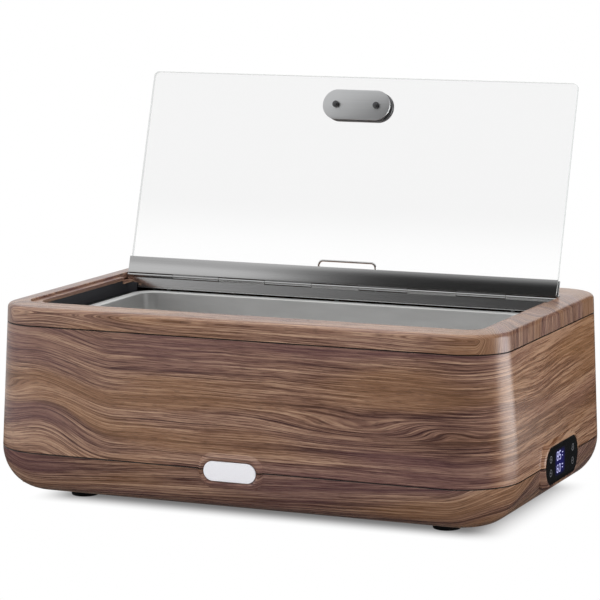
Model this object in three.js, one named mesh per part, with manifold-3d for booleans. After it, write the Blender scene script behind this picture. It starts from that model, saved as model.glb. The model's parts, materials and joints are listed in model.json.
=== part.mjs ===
// Electric chafing dish with a wood-effect housing and a hinged glass lid, in millimetres, +Z up.
// The front faces -Y, the origin is on the table under the middle of the body, and the lid stands open.

import * as THREE from 'three';
import { mergeVertices } from 'three/addons/utils/BufferGeometryUtils.js';
import Module from 'manifold-3d';

const wasm = await Module();
wasm.setup();

// Clearances that every piece shares
const fit = 0.3;
const boltClearance = 0.4;
const overrun = 20;
const lap = 1;

// Facets
const cornerSteps = 6;
const baseSteps = 7;
const innerBaseSteps = 3;
const edgeSteps = 3;
const tubeSides = 8;
const bendSteps = 4;
const roundSides = 16;
const bossSides = 8;
const knuckleSides = 10;
const screwSides = 8;
const hexSides = 6;
const arcSteps = 8;

// Housing, outside
const bodyLength = 650;
const bodyDepth = 424;
const bodyCornerRadius = 72;
const footHeight = 12;
const baseHeight = 52;
const baseInset = 48;
const bandHeight = 149.6;
const bandSideTaper = 9.3;
const bandFrontTaper = 11.6;
const bandRearTaper = 6;
const bandTopCornerRadius = 54;
const housingWall = 4;
const seamGap = 0.6;
const tongueHeight = 4;
const tongueThickness = 2;

// Rim and deck
const rimHeight = 22.5;
const rimCrown = 2.4;
const rimEdgeRadius = 5.5;
const rimSkirtTaper = 0.7;
const rimPlateThickness = 7.1;
const sideRailWidth = 28.7;
const frontRailWidth = 29.4;
const openingCornerRadius = 22;
const openingEdgeRound = 1.2;
const ledgeSideWidth = 8.4;
const ledgeFrontWidth = 14;
const deckRibThickness = 3;
const deckRibDepth = 12;
const deckRibCount = 5;

// Lid hinge
const hingeSetback = 102;
const hingeZ = 235.5;
const lidLean = 17;
const hingeEndGap = 1.5;
const knuckleRadius = 2.4;
const rodRadius = 1.3;
const rodClearance = 0.35;
const knuckleGap = 0.5;
const knuckleCount = 9;
const leafThickness = 1.1;
const leafDrop = 14.3;
const leafChamferWidth = 6;
const leafChamferHeight = 8;
const leafFlangeDepth = 11;
const leafHemRadius = 1.1;
const stopGap = 0.4;
const hingePocketDepth = 5.8;
const hingePocketReach = 26;
const hingePocketEndGap = 0.4;
const hingeBarDepth = 14;
const lugFloor = 2.3;
const lugReach = 4;
const hingeScrewEndGap = 55.5;
const hingeScrewCount = 3;
const hingeScrewRadius = 1.5;
const hingeScrewHeadRadius = 3;
const hingeScrewHeadHeight = 2;
const hingeScrewLength = 7;

// Lid
const glassThickness = 5;
const glassOffset = 0.5;
const glassFrontGap = 9;
const glassCornerRadius = 7;
const gasketThickness = 0.8;
const channelWall = 1.1;
const channelHeight = 21;
const gasketSetback = 1;
const handleSetback = 36;
const handleLength = 90;
const handleHeight = 38;
const handleFootLength = 80;
const handleFootHeight = 28;
const handleFootThickness = 3.6;
const handleThickness = 10;
const handleEdgeRound = 2.2;
const handlePlateThickness = 1.5;
const handleBoltSpacing = 54;
const handleBoltRadius = 2;
const handleBoltHeadRadius = 4;
const handleBoltHeadHeight = 2.6;
const handleBoltDepth = 6;
const driveSlotWidth = 1.2;
const driveSlotDepth = 1;

// Well, liner and food pan
const wellFlangeZ = 215.4;
const wellFlangeSideLap = 18.4;
const wellFlangeFrontLap = 11;
const wellFlangeRearLap = 14;
const wellFlangeRadius = 45;
const wellLip = 6;
const wellRadius = 34;
const wellDepth = 80;
const wellTaper = 3;
const wellBottomRound = 12;
const wellWall = 1.2;
const linerThickness = 1.2;
const linerFlange = 5;
const linerEndGap = 3.6;
const panEndGap = 15.1;
const panFrontGap = 10;
const panRearGap = 2.6;
const panFlangeRadius = 30;
const panFlangeWidth = 12.5;
const panHemDrop = 2.5;
const panDepth = 65;
const panTaper = 6;
const panBottomRound = 14;
const panMouthRound = 2;
const panWall = 1;
const wellScrewLap = 11.4;
const wellScrewSpread = 60;
const wellBossRadius = 4.5;
const wellScrewRadius = 1.8;
const wellScrewHeadRadius = 3.4;
const wellScrewHeadHeight = 2.2;
const wellScrewLength = 10;

// Heater under the well
const elementRadius = 4;
const elementEdgeGap = 30;
const elementEndGap = 52.5;
const elementInnerEndGap = 87.5;
const elementTerminalGap = 42.5;
const elementBendEase = 0.8;
const clampEndGap = 50;
const clampWidth = 16;
const clampReach = 12;
const clampThickness = 1.5;
const shieldEndGap = 17.5;
const shieldSideGap = 12;
const shieldRadius = 18;
const shieldDrop = 27;
const shieldUpstand = 12;
const shieldThickness = 1;
const studSetback = 15;
const studRadius = 2;
const studShoulderRadius = 3.4;
const studTail = 5;
const nutRadius = 3.7;
const nutHeight = 2.8;
const sensorRadius = 3;
const sensorLength = 60;
const sensorX = 10;
const cutoutRadius = 8;
const cutoutHeight = 7;
const cutoutX = -62;
const cutoutFlangeLength = 24;
const cutoutFlangeThickness = 1;

// Feet and the screws that hold the housing together
const footEndInset = 93;
const footSideInset = 87;
const footTopRadius = 17.5;
const footBottomRadius = 16;
const footRecessRadius = 5.6;
const footRecessDepth = 5;
const footScrewRadius = 2;
const footScrewHeadRadius = 4.4;
const footScrewHeadHeight = 2.4;
const footScrewTop = 22;
const footBossRadius = 7;
const footBossHeight = 10;
const tieInset = 41.5;
const tieRadius = 2.5;
const tieHeadRadius = 4.6;
const tieHeadHeight = 4;
const tieSeatZ = 38;
const tieTopZ = 224;
const tieBossRadius = 8;
const tiePillarRadius = 6.5;
const tiePillarDrop = 6;
const ribThickness = 3;
const ribReach = 30;
const ventCount = 5;
const ventWidth = 4;
const ventLength = 46;
const ventPitch = 11;
const ventX = 110;

// Badge plate and its raised pod on the front
const badgeWidth = 66.8;
const badgeHeight = 24.4;
const badgeThickness = 1.5;
const badgeCentreZ = 63;
const badgeRecess = 1.2;
const badgePinRadius = 1.4;
const badgePinLength = 4;
const badgePinSpacing = 40;
const badgePodProud = 3;
const badgePodMargin = 1.3;
const badgePodFlank = 8.2;
const badgePodFlankTop = 12;
const badgePodFlankBottom = 2.2;
const podRoot = 9;
const podSink = 1.5;

// Control panel and its raised pod on the right side
const panelWidth = 120;
const panelHeight = 44;
const panelBulge = 16;
const panelCentreY = 0;
const panelCentreZ = 63.5;
const panelPodProud = 3.8;
const panelPodMargin = 2.2;
const panelPodFlank = 7;
const bezelDepth = 3;
const bezelBorder = 2.2;
const panelGlassThickness = 1.6;
const windowWidth = 64;
const windowHeight = 30;
const displayWidth = 62;
const displayHeight = 28;
const displayThickness = 6;
const bezelPostRadius = 3.2;
const bezelPostSpacing = 92;
const bezelPostLength = 11;
const boardWidth = 108;
const boardHeight = 40;
const boardThickness = 1.6;
const boardScrewRadius = 1.2;
const boardScrewHeadRadius = 2.4;
const boardScrewHeadHeight = 1.6;
const boardScrewLength = 6;
const chipWidth = 14;
const chipThickness = 2;
const chipDrop = 8;

// Power board on the floor of the base
const powerBoardEndInset = 135;
const powerBoardRearInset = 132;
const powerBoardLength = 90;
const powerBoardDepth = 56;
const powerBoardZ = 40;
const powerPostRadius = 3.5;
const powerPinRadius = 1.5;
const powerPinHeight = 4;
const powerPostInset = 7;
const relayLength = 28;
const relayDepth = 20;
const relayHeight = 22;
const terminalLength = 46;
const terminalDepth = 12;
const terminalHeight = 14;

// Power inlet in the rear wall
const inletEndInset = 135;
const inletZ = 100;
const inletSeatDepth = 1.4;
const inletFlangeWidth = 50;
const inletFlangeHeight = 24;
const inletFlangeThickness = 2.4;
const inletBodyWidth = 28;
const inletBodyHeight = 20;
const inletBodyDepth = 26;
const inletCornerCut = 5;
const socketWidth = 24.4;
const socketHeight = 16.4;
const socketDepth = 21;
const socketCornerCut = 3.6;
const bladeWidth = 2;
const bladeHeight = 4;
const bladeLength = 15;
const bladeSpacing = 14;
const bladeDrop = 2;
const bladeRise = 2.5;
const inletScrewSpacing = 40;
const inletScrewRadius = 1.5;
const inletScrewHeadRadius = 2.9;
const inletScrewHeadHeight = 1.5;
const inletScrewLength = 10;

// Wire loop on the rear deck
const wireSetback = 37;
const wireSpan = 79;
const wireHeight = 24.8;
const wireRadius = 1.4;
const wireBend = 6;
const wireTail = 6;
const wireNutHeight = 3;

// Levels and edges that follow from the values above
const bodyHalfLength = bodyLength / 2;
const bodyRear = bodyDepth / 2;
const bodyFront = -bodyRear;
const partLineZ = footHeight + baseHeight;
const bandTopZ = partLineZ + bandHeight;
const rimBottomZ = bandTopZ + seamGap;
const rimCreaseZ = bandTopZ + rimHeight;
const rimTopZ = rimCreaseZ + rimCrown;
const rimUnderZ = rimTopZ - rimPlateThickness;
const rimHalfLength = bodyHalfLength - bandSideTaper;
const rimFront = bodyFront + bandFrontTaper;
const rimRear = bodyRear - bandRearTaper;
const openingHalfLength = rimHalfLength - sideRailWidth;
const openingFront = rimFront + frontRailWidth;
const ledgeHalfLength = openingHalfLength - ledgeSideWidth;
const ledgeFront = openingFront + ledgeFrontWidth;
const hingeY = rimRear - hingeSetback;
const hingeLength = 2 * (openingHalfLength - hingeEndGap);
const hingeScrewSpacing = (hingeLength - 2 * hingeScrewEndGap) / (hingeScrewCount - 1);
const lean = THREE.MathUtils.degToRad(lidLean);
const glassReach = hingeY - openingFront - glassFrontGap;
const handleReach = glassReach - handleSetback;
const channelStart = knuckleRadius + knuckleGap;
const gasketInner = glassOffset - fit;
const gasketOuter = gasketInner - gasketThickness;
const channelInner = gasketOuter - fit;
const channelFront = channelInner - channelWall;
const glassBack = glassOffset + glassThickness;
const channelBack = glassBack + fit + gasketThickness + fit + channelWall;
const deckEdgeReach = (rimTopZ - hingeZ + channelBack * Math.sin(lean)) / Math.cos(lean);
const deckEdgeY = hingeY + channelBack * Math.cos(lean) + deckEdgeReach * Math.sin(lean) + stopGap;
const ledgeZ = hingeZ + glassOffset - stopGap;
const leafFrontY = hingeY - knuckleRadius;
const leafBackY = leafFrontY + leafThickness;
const hingeBarFront = leafBackY + fit;
const pocketZ = hingeZ - hingePocketDepth;
const pocketFront = hingeY - hingePocketReach;
const leafBottomZ = hingeZ - leafDrop;
const hingeBarBottom = leafBottomZ + fit;
const linerEnd = leafFrontY - linerEndGap;
const panFlangeHalfLength = ledgeHalfLength - panEndGap;
const panFlangeFront = ledgeFront + panFrontGap;
const panFlangeRear = leafFrontY - panRearGap;
const wellHalfLength = panFlangeHalfLength - wellLip;
const wellFront = panFlangeFront + wellLip;
const wellRear = panFlangeRear - wellLip;
const wellCentreY = (wellFront + wellRear) / 2;
const wellHalfDepth = (wellRear - wellFront) / 2;
const wellFlangeHalfLength = ledgeHalfLength + wellFlangeSideLap;
const wellFlangeFront = ledgeFront - wellFlangeFrontLap;
const wellFlangeRear = hingeY + wellFlangeRearLap;
const wellScrewX = ledgeHalfLength + wellScrewLap;
const elementLeft = elementEndGap - wellHalfLength;
const elementRight = wellHalfLength - elementInnerEndGap;
const elementTerminalX = wellHalfLength - elementTerminalGap;
const elementOuterRow = wellHalfDepth - elementEdgeGap;
const elementInnerRow = elementOuterRow / 3;
const elementBend = elementInnerRow - elementBendEase;
const clampX = elementRight - clampEndGap;
const clampHalfSpan = elementOuterRow + clampReach;
const shieldHalfLength = wellHalfLength - shieldEndGap;
const shieldHalfDepth = wellHalfDepth - shieldSideGap;
const studX = -elementLeft - studSetback;
const studY = (elementOuterRow + elementInnerRow) / 2;
const footX = bodyHalfLength - footEndInset;
const footY = bodyRear - footSideInset;
const tieX = bodyHalfLength - tieInset;
const tieY = bodyRear - tieInset;
const powerBoardX = bodyHalfLength - powerBoardEndInset;
const powerBoardY = bodyRear - powerBoardRearInset;
const inletX = bodyHalfLength - inletEndInset;
const inletWallY = bodyRear - bandRearTaper * (inletZ - partLineZ) / bandHeight;
const inletSeatY = inletWallY - inletSeatDepth;
const wireY = hingeY + wireSetback;
const linerBottomZ = wellFlangeZ + fit;
const linerTopZ = rimUnderZ - fit;
const linerJointY = ledgeFront + openingCornerRadius;
const wellFloorZ = wellFlangeZ - wellDepth;
const wellUnderZ = wellFloorZ - wellWall;
const elementZ = wellUnderZ - fit - elementRadius;
const shieldTopZ = wellUnderZ - shieldDrop;
const panFlangeTopZ = wellFlangeZ + fit + panHemDrop;
const panFloorZ = panFlangeTopZ - panDepth;
const baseFloorZ = footHeight + housingWall;
const badgeFaceY = bodyFront - badgePodProud;
const panelFaceX = bodyHalfLength + panelPodProud;
const bezelBackX = panelFaceX - bezelDepth;
const boardX = bezelBackX - bezelPostLength - fit;

// Materials
const finishes = {
  wood: { color: 0x7d5f4f, roughness: 0.55, metalness: 0 },
  steel: { color: 0xb4b4b2, roughness: 0.28, metalness: 1 },
  darkSteel: { color: 0x4a4a4c, roughness: 0.4, metalness: 1 },
  enamel: { color: 0x151515, roughness: 0.45, metalness: 0 },
  pan: { color: 0xa8a8a6, roughness: 0.32, metalness: 1 },
  glass: { color: 0xf2f5f5, roughness: 0.04, metalness: 0, transparent: true, opacity: 0.25 },
  blackGlass: { color: 0x08080a, roughness: 0.08, metalness: 0 },
  blackPlastic: { color: 0x121212, roughness: 0.5, metalness: 0 },
  rubber: { color: 0x1a1a1b, roughness: 0.85, metalness: 0 },
  display: { color: 0x241f8a, roughness: 0.3, metalness: 0 },
  board: { color: 0x1c5a34, roughness: 0.6, metalness: 0 },
  badge: { color: 0xdcdde4, roughness: 0.3, metalness: 0.6 },
  element: { color: 0x5b5550, roughness: 0.5, metalness: 1 },
};
const materials = Object.fromEntries(
  Object.entries(finishes).map(([name, values]) => [name, new THREE.MeshStandardMaterial(values)]),
);

// Turns a closed geometry into a solid for cutting and joining.
function solidOf(geometry) {
  const bare = geometry.clone();
  bare.deleteAttribute('normal');
  bare.deleteAttribute('uv');
  const merged = mergeVertices(bare);
  const vertProperties = new Float32Array(merged.attributes.position.array);
  const triVerts = new Uint32Array(merged.index.array);
  return new wasm.Manifold(new wasm.Mesh({ numProp: 3, vertProperties, triVerts }));
}

// Turns a solid back into a geometry.
function geometryOf(solid) {
  const mesh = solid.getMesh();
  const geometry = new THREE.BufferGeometry();
  geometry.setAttribute('position', new THREE.BufferAttribute(mesh.vertProperties, mesh.numProp));
  geometry.setIndex(new THREE.BufferAttribute(mesh.triVerts, 1));
  geometry.computeVertexNormals();
  return geometry;
}

function join(...geometries) {
  return geometryOf(geometries.map(solidOf).reduce((whole, next) => whole.add(next)));
}

function cut(geometry, ...tools) {
  return geometryOf(tools.map(solidOf).reduce((whole, tool) => whole.subtract(tool), solidOf(geometry)));
}

function common(geometry, other) {
  return geometryOf(solidOf(geometry).intersect(solidOf(other)));
}

// A rounded rectangle at height z, counter-clockwise from above, always with the same number of points.
function ring({ halfLength, front, rear, radius, z }) {
  const corner = Math.min(radius, halfLength, (rear - front) / 2);
  const centres = [
    [halfLength - corner, front + corner],
    [halfLength - corner, rear - corner],
    [corner - halfLength, rear - corner],
    [corner - halfLength, front + corner],
  ];
  return centres.flatMap(([x, y], index) =>
    Array.from({ length: cornerSteps + 1 }, (_, step) => {
      const angle = (index - 1 + step / cornerSteps) * Math.PI / 2;
      return new THREE.Vector3(x + corner * Math.cos(angle), y + corner * Math.sin(angle), z);
    }),
  );
}

// The same rounded rectangle drawn in by an inset on every side.
function insetRing(outline, inset, z) {
  return ring({
    halfLength: outline.halfLength - inset,
    front: outline.front + inset,
    rear: outline.rear - inset,
    radius: Math.max(outline.radius - inset, fit),
    z,
  });
}

// A skin through rings of equal point count: closed on itself as a frame, or capped at both ends.
function loft(rings, closed = false) {
  const count = rings[0].length;
  const positions = rings.flat().flatMap((point) => point.toArray());
  const index = [];
  const bands = closed ? rings.length : rings.length - 1;
  for (let band = 0; band < bands; band += 1) {
    const low = band * count;
    const high = ((band + 1) % rings.length) * count;
    for (let here = 0; here < count; here += 1) {
      const next = (here + 1) % count;
      index.push(low + here, low + next, high + next, low + here, high + next, high + here);
    }
  }
  if (!closed) {
    addCap(positions, index, rings[0], 0, true);
    addCap(positions, index, rings[rings.length - 1], (rings.length - 1) * count, false);
  }
  const geometry = new THREE.BufferGeometry();
  geometry.setAttribute('position', new THREE.Float32BufferAttribute(positions, 3));
  geometry.setIndex(index);
  return geometry;
}

function addCap(positions, index, points, start, facingDown) {
  const centre = points.reduce((sum, point) => sum.add(point),
    new THREE.Vector3()).divideScalar(points.length);
  const middle = positions.length / 3;
  positions.push(...centre.toArray());
  points.forEach((_, here) => {
    const next = (here + 1) % points.length;
    const edge = facingDown ? [start + next, start + here] : [start + here, start + next];
    index.push(...edge, middle);
  });
}

// A box between two corners.
function box(xLow, xHigh, yLow, yHigh, zLow, zHigh) {
  const geometry = new THREE.BoxGeometry(xHigh - xLow, yHigh - yLow, zHigh - zLow);
  return geometry.translate((xLow + xHigh) / 2, (yLow + yHigh) / 2, (zLow + zHigh) / 2);
}

// An upright round bar between two heights, tapered where two radii are given.
function bar(x, y, zLow, zHigh, radius, sides = roundSides, topRadius = radius) {
  const geometry = new THREE.CylinderGeometry(topRadius, radius, zHigh - zLow, sides);
  return geometry.rotateX(Math.PI / 2).translate(x, y, (zLow + zHigh) / 2);
}

// A round bar along X.
function barAlongX(xLow, xHigh, y, z, radius, sides = roundSides) {
  const geometry = new THREE.CylinderGeometry(radius, radius, xHigh - xLow, sides);
  return geometry.rotateZ(Math.PI / 2).translate((xLow + xHigh) / 2, y, z);
}

// A round bar along Y.
function barAlongY(x, yLow, yHigh, z, radius, sides = roundSides) {
  const geometry = new THREE.CylinderGeometry(radius, radius, yHigh - yLow, sides);
  return geometry.translate(x, (yLow + yHigh) / 2, z);
}

// Outline points of a plate with straight top and bottom and bulging ends.
function barrelPoints(width, height, bulge) {
  const depth = Math.min(bulge, height / 2);
  const arcRadius = (depth * depth + height * height / 4) / (2 * depth);
  const halfAngle = Math.asin(Math.min(1, height / 2 / arcRadius));
  const arcCentre = width / 2 - arcRadius;
  return [1, -1].flatMap((side) =>
    Array.from({ length: arcSteps + 1 }, (_, step) => {
      const angle = halfAngle * (2 * step / arcSteps - 1);
      return new THREE.Vector2(side * (arcCentre + arcRadius * Math.cos(angle)),
        side * arcRadius * Math.sin(angle));
    }),
  );
}

function obroundPoints(width, height) {
  return barrelPoints(width, height, height / 2);
}

function outlineRing(points, z, riseY = 0) {
  return points.map((point) => new THREE.Vector3(point.x, point.y + riseY, z));
}

// A flat plate of an outline between two heights, with a rounded front edge if one is given.
function plate(points, zLow, zHigh) {
  return loft([outlineRing(points, zLow), outlineRing(points, zHigh)]);
}

// Outline points on the X-Y plane turned to face the front, with their Z on -Y.
function facingFront(geometry, centreZ) {
  return geometry.rotateX(Math.PI / 2).translate(0, 0, centreZ);
}

// Outline points on the X-Y plane turned to face the right, with their Z on +X.
function facingRight(geometry, centreY, centreZ) {
  return geometry.rotateX(Math.PI / 2).rotateZ(Math.PI / 2).translate(0, centreY, centreZ);
}

// A path of straight runs and round bends, sampled only where it bends.
class BentPath extends THREE.Curve {
  constructor(points, bend) {
    super();
    this.nodes = [points[0]];
    points.slice(1, -1).forEach((corner, index) => {
      const before = points[index].clone().sub(corner).normalize();
      const after = points[index + 2].clone().sub(corner).normalize();
      const half = before.angleTo(after) / 2;
      const setback = bend / Math.tan(half);
      const middle = before.clone().add(after).normalize().multiplyScalar(bend / Math.sin(half));
      const centre = corner.clone().add(middle);
      const start = corner.clone().addScaledVector(before, setback).sub(centre);
      const end = corner.clone().addScaledVector(after, setback).sub(centre);
      const sweep = start.angleTo(end);
      for (let step = 0; step <= bendSteps; step += 1) {
        const share = step / bendSteps;
        const first = Math.sin((1 - share) * sweep) / Math.sin(sweep);
        const second = Math.sin(share * sweep) / Math.sin(sweep);
        const spoke = start.clone().multiplyScalar(first).addScaledVector(end, second);
        this.nodes.push(centre.clone().add(spoke));
      }
    });
    this.nodes.push(points[points.length - 1]);
  }

  getUtoTmapping(share) {
    return share;
  }

  getPoint(share, target = new THREE.Vector3()) {
    const along = share * (this.nodes.length - 1);
    const index = Math.min(Math.floor(along), this.nodes.length - 2);
    return target.lerpVectors(this.nodes[index], this.nodes[index + 1], along - index);
  }
}

function tube(points, radius, bend) {
  const path = new BentPath(points, bend);
  const section = new THREE.Shape(
    Array.from({ length: tubeSides }, (_, side) => {
      const angle = 2 * Math.PI * side / tubeSides;
      return new THREE.Vector2(radius * Math.cos(angle), radius * Math.sin(angle));
    }),
  );
  return new THREE.ExtrudeGeometry(section,
    { steps: path.nodes.length - 1, extrudePath: path, bevelEnabled: false });
}

// A screw whose head faces down and whose shank points up from its seat.
function screwUp(seatZ, length, radius, headRadius, headHeight) {
  const slotted = cut(
    bar(0, 0, seatZ - headHeight, seatZ, headRadius, screwSides, headRadius),
    box(-headRadius, headRadius, -driveSlotWidth / 2, driveSlotWidth / 2, seatZ - headHeight - lap,
      seatZ - headHeight + driveSlotDepth),
  );
  return join(slotted, bar(0, 0, seatZ - headHeight / 2, seatZ + length, radius, screwSides));
}

function hexNut(zLow, height, boreRadius) {
  const bore = bar(0, 0, zLow - lap, zLow + height + lap, boreRadius, screwSides);
  return cut(bar(0, 0, zLow, zLow + height, nutRadius, hexSides), bore);
}

function named(name, geometry, finish) {
  const mesh = new THREE.Mesh(geometry, materials[finish]);
  mesh.name = name;
  return mesh;
}

function placed(mesh, x, y, z = 0) {
  mesh.position.set(x, y, z);
  return mesh;
}

// Housing outlines
const lowerLine = { halfLength: bodyHalfLength, front: bodyFront, rear: bodyRear, radius: bodyCornerRadius };
const upperLine = { halfLength: rimHalfLength, front: rimFront, rear: rimRear, radius: bandTopCornerRadius };

// The housing's outline at a height of the band, drawn in by an inset.
function bandRing(z, inset) {
  const share = (z - partLineZ) / bandHeight;
  const mix = (low, high) => THREE.MathUtils.lerp(low, high, share);
  const outline = {
    halfLength: mix(lowerLine.halfLength, upperLine.halfLength),
    front: mix(lowerLine.front, upperLine.front),
    rear: mix(lowerLine.rear, upperLine.rear),
    radius: mix(lowerLine.radius, upperLine.radius),
  };
  return insetRing(outline, inset, z);
}

// Rings of the base's quarter-ellipse side from its flat floor up to the part line.
function baseRings(inset, floorZ, steps = baseSteps) {
  return Array.from({ length: steps + 1 }, (_, step) => {
    const angle = step / steps * Math.PI / 2;
    const rise = (partLineZ - floorZ) * (1 - Math.cos(angle));
    return insetRing(lowerLine, inset + baseInset * (1 - Math.sin(angle)), floorZ + rise);
  });
}

function bandCore(inset) {
  return loft([bandRing(partLineZ + seamGap, inset), bandRing(bandTopZ, inset)]);
}

function baseCore(inset) {
  return loft(baseRings(inset, footHeight + inset, innerBaseSteps));
}

// The raised pod that carries the badge, in front of and behind the front wall.
function badgePod() {
  const faceWidth = badgeWidth + 2 * badgePodMargin;
  const faceHeight = badgeHeight + 2 * badgePodMargin;
  const footWidth = faceWidth + 2 * badgePodFlank;
  const footHeightZ = faceHeight + badgePodFlankTop + badgePodFlankBottom;
  const footRise = (badgePodFlankTop - badgePodFlankBottom) / 2;
  const footOutline = obroundPoints(footWidth, footHeightZ);
  const root = -(bodyFront + podRoot);
  const foot = -(bodyFront + podSink);
  const rings = [
    outlineRing(footOutline, root, footRise),
    outlineRing(footOutline, foot, footRise),
    outlineRing(obroundPoints(faceWidth, faceHeight), -badgeFaceY),
  ];
  return facingFront(loft(rings), badgeCentreZ);
}

function badgeCuts() {
  const recessOutline = obroundPoints(badgeWidth + 2 * fit, badgeHeight + 2 * fit);
  const recess = facingFront(plate(recessOutline, -badgeFaceY - badgeRecess, -badgeFaceY + overrun),
    badgeCentreZ);
  const holes = [-1, 1].map((side) => barAlongY(side * badgePinSpacing / 2, badgeFaceY,
    badgeFaceY + podRoot + overrun,
    badgeCentreZ, badgePinRadius + boltClearance, screwSides));
  return [recess, ...holes];
}

// The raised pod that carries the control panel on the right side.
function panelPod() {
  const faceWidth = panelWidth + 2 * panelPodMargin;
  const faceHeight = panelHeight + 2 * panelPodMargin;
  const faceBulge = panelBulge + panelPodMargin;
  const footOutline = barrelPoints(faceWidth + 2 * panelPodFlank, faceHeight + panelPodFlank,
    faceBulge + panelPodFlank);
  const rings = [
    outlineRing(footOutline, bodyHalfLength - podRoot),
    outlineRing(footOutline, bodyHalfLength - podSink),
    outlineRing(barrelPoints(faceWidth, faceHeight, faceBulge), panelFaceX),
  ];
  return facingRight(loft(rings), panelCentreY, panelCentreZ);
}

function panelCuts() {
  const recess = plate(barrelPoints(panelWidth + 2 * fit, panelHeight + 2 * fit, panelBulge),
    bezelBackX - fit, panelFaceX + overrun);
  const window = box(0, panelFaceX + overrun, panelCentreY - windowWidth / 2 - fit,
    panelCentreY + windowWidth / 2 + fit,
    panelCentreZ - windowHeight / 2 - fit, panelCentreZ + windowHeight / 2 + fit);
  const innerWindow = common(window,
    box(bodyHalfLength - overrun, panelFaceX, bodyFront, bodyRear, 0, rimTopZ));
  const holes = [-1, 1].map((side) => barAlongX(bodyHalfLength - overrun, panelFaceX,
    panelCentreY + side * bezelPostSpacing / 2, panelCentreZ, bezelPostRadius + boltClearance, screwSides));
  return [facingRight(recess, panelCentreY, panelCentreZ), innerWindow, ...holes];
}

const tiePlaces = [[-1, -1], [1, -1], [-1, 1], [1, 1]].map(([sideX, sideY]) => [sideX * tieX, sideY * tieY]);
const footPlaces = [[-1, -1], [1, -1], [-1, 1],
  [1, 1]].map(([sideX, sideY]) => [sideX * footX, sideY * footY]);
const wellScrewPlaces = [[-1, -1], [1, -1], [-1, 1], [1, 1]]
  .map(([sideX, sideY]) => [sideX * wellScrewX, wellCentreY + sideY * wellScrewSpread]);
const powerPostPlaces = [[-1, -1], [1, 1]].map(([sideX, sideY]) => [
  powerBoardX + sideX * (powerBoardLength / 2 - powerPostInset),
  powerBoardY + sideY * (powerBoardDepth / 2 - powerPostInset),
]);

// Base tray: quarter-ellipse sides, a locating tongue, bosses for the feet and tie screws, and vent slots.
function baseShell() {
  const halfWall = housingWall / 2 + fit / 2;
  const tongueTop = partLineZ + tongueHeight;
  const skin = loft([
    ...baseRings(0, footHeight),
    insetRing(lowerLine, halfWall, partLineZ),
    insetRing(lowerLine, halfWall + fit, tongueTop),
    insetRing(lowerLine, housingWall, tongueTop),
    ...baseRings(housingWall, baseFloorZ, innerBaseSteps).reverse(),
  ]);
  const tieBosses = tiePlaces.map(([x, y]) => bar(x, y, footHeight, partLineZ - fit, tieBossRadius,
    bossSides));
  const footBosses = footPlaces.map(([x, y]) => bar(x, y, footHeight + lap, baseFloorZ + footBossHeight,
    footBossRadius,
    bossSides));
  const posts = powerPostPlaces.flatMap(([x, y]) => [
    bar(x, y, footHeight + lap, powerBoardZ - fit, powerPostRadius, bossSides),
    bar(x, y, footHeight + lap, powerBoardZ + boardThickness + powerPinHeight - fit, powerPinRadius,
      screwSides),
  ]);
  const core = baseCore(lap);
  const bosses = [...tieBosses, ...footBosses].map((boss) => common(boss, core));
  const pods = [badgePod(), panelPod()].map((pod) => common(pod,
    box(-bodyLength, bodyLength, -bodyLength, bodyLength,
    0, partLineZ)));
  const housing = join(skin, ...bosses, ...posts, ...pods);
  const tieHoles = tiePlaces.flatMap(([x, y]) => [
    bar(x, y, 0, tieSeatZ, tieHeadRadius + boltClearance + fit, bossSides),
    bar(x, y, 0, partLineZ + overrun, tieRadius + boltClearance, screwSides),
  ]);
  const footHoles = footPlaces.map(([x, y]) => bar(x, y, 0, footScrewTop + lap,
    footScrewRadius + boltClearance, screwSides));
  return cut(housing, ...tieHoles, ...footHoles, ...ventCuts(), ...badgeCuts(), ...panelCuts());
}

function ventCuts() {
  return [-1, 1].flatMap((side) => Array.from({ length: ventCount }, (_, index) => {
    const x = side * ventX + (index - (ventCount - 1) / 2) * ventPitch;
    return box(x - ventWidth / 2, x + ventWidth / 2, -ventLength / 2, ventLength / 2, 0, baseFloorZ + lap);
  }));
}

// Tapered band with a rebate over the base's tongue, corner pillars on ribs, and the seat of the power inlet.
function bodyBand() {
  const halfWall = housingWall / 2 - fit / 2;
  const bottomZ = partLineZ + seamGap;
  const rebateZ = partLineZ + tongueHeight + fit;
  const skin = loft([
    bandRing(bottomZ, 0),
    bandRing(bandTopZ, 0),
    bandRing(bandTopZ, housingWall),
    bandRing(rebateZ, housingWall),
    bandRing(rebateZ, halfWall),
    bandRing(bottomZ, halfWall),
  ], true);
  const pillarTop = bandTopZ - tiePillarDrop;
  const pillars = tiePlaces.flatMap(([x, y]) => [
    bar(x, y, partLineZ + fit, pillarTop, tiePillarRadius, bossSides),
    cornerRib(x, y, rebateZ + lap, pillarTop),
  ]).map((pillar) => common(pillar, bandCore(lap)));
  const pods = [badgePod(), panelPod()].map((pod) => common(pod,
    box(-bodyLength, bodyLength, -bodyLength, bodyLength,
    bottomZ, bandTopZ)));
  const tongueRoom = loft([
    insetRing(lowerLine, housingWall / 2 - fit / 2, partLineZ - overrun),
    insetRing(lowerLine, housingWall / 2 - fit / 2, rebateZ),
    insetRing(lowerLine, housingWall + fit, rebateZ),
    insetRing(lowerLine, housingWall + fit, partLineZ - overrun),
  ], true);
  const housing = cut(join(skin, ...pillars, ...pods), tongueRoom);
  const tieHoles = tiePlaces.map(([x, y]) => bar(x, y, 0, bandTopZ, tieRadius + boltClearance, screwSides));
  return cut(housing, ...tieHoles, ...badgeCuts(), ...panelCuts(), ...inletCuts());
}

// A rib from a corner pillar out to the wall.
function cornerRib(x, y, zLow, zHigh) {
  const rib = box(0, ribReach, -ribThickness / 2, ribThickness / 2, zLow, zHigh);
  return rib.rotateZ(Math.atan2(Math.sign(y), Math.sign(x))).translate(x, y, 0);
}

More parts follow.
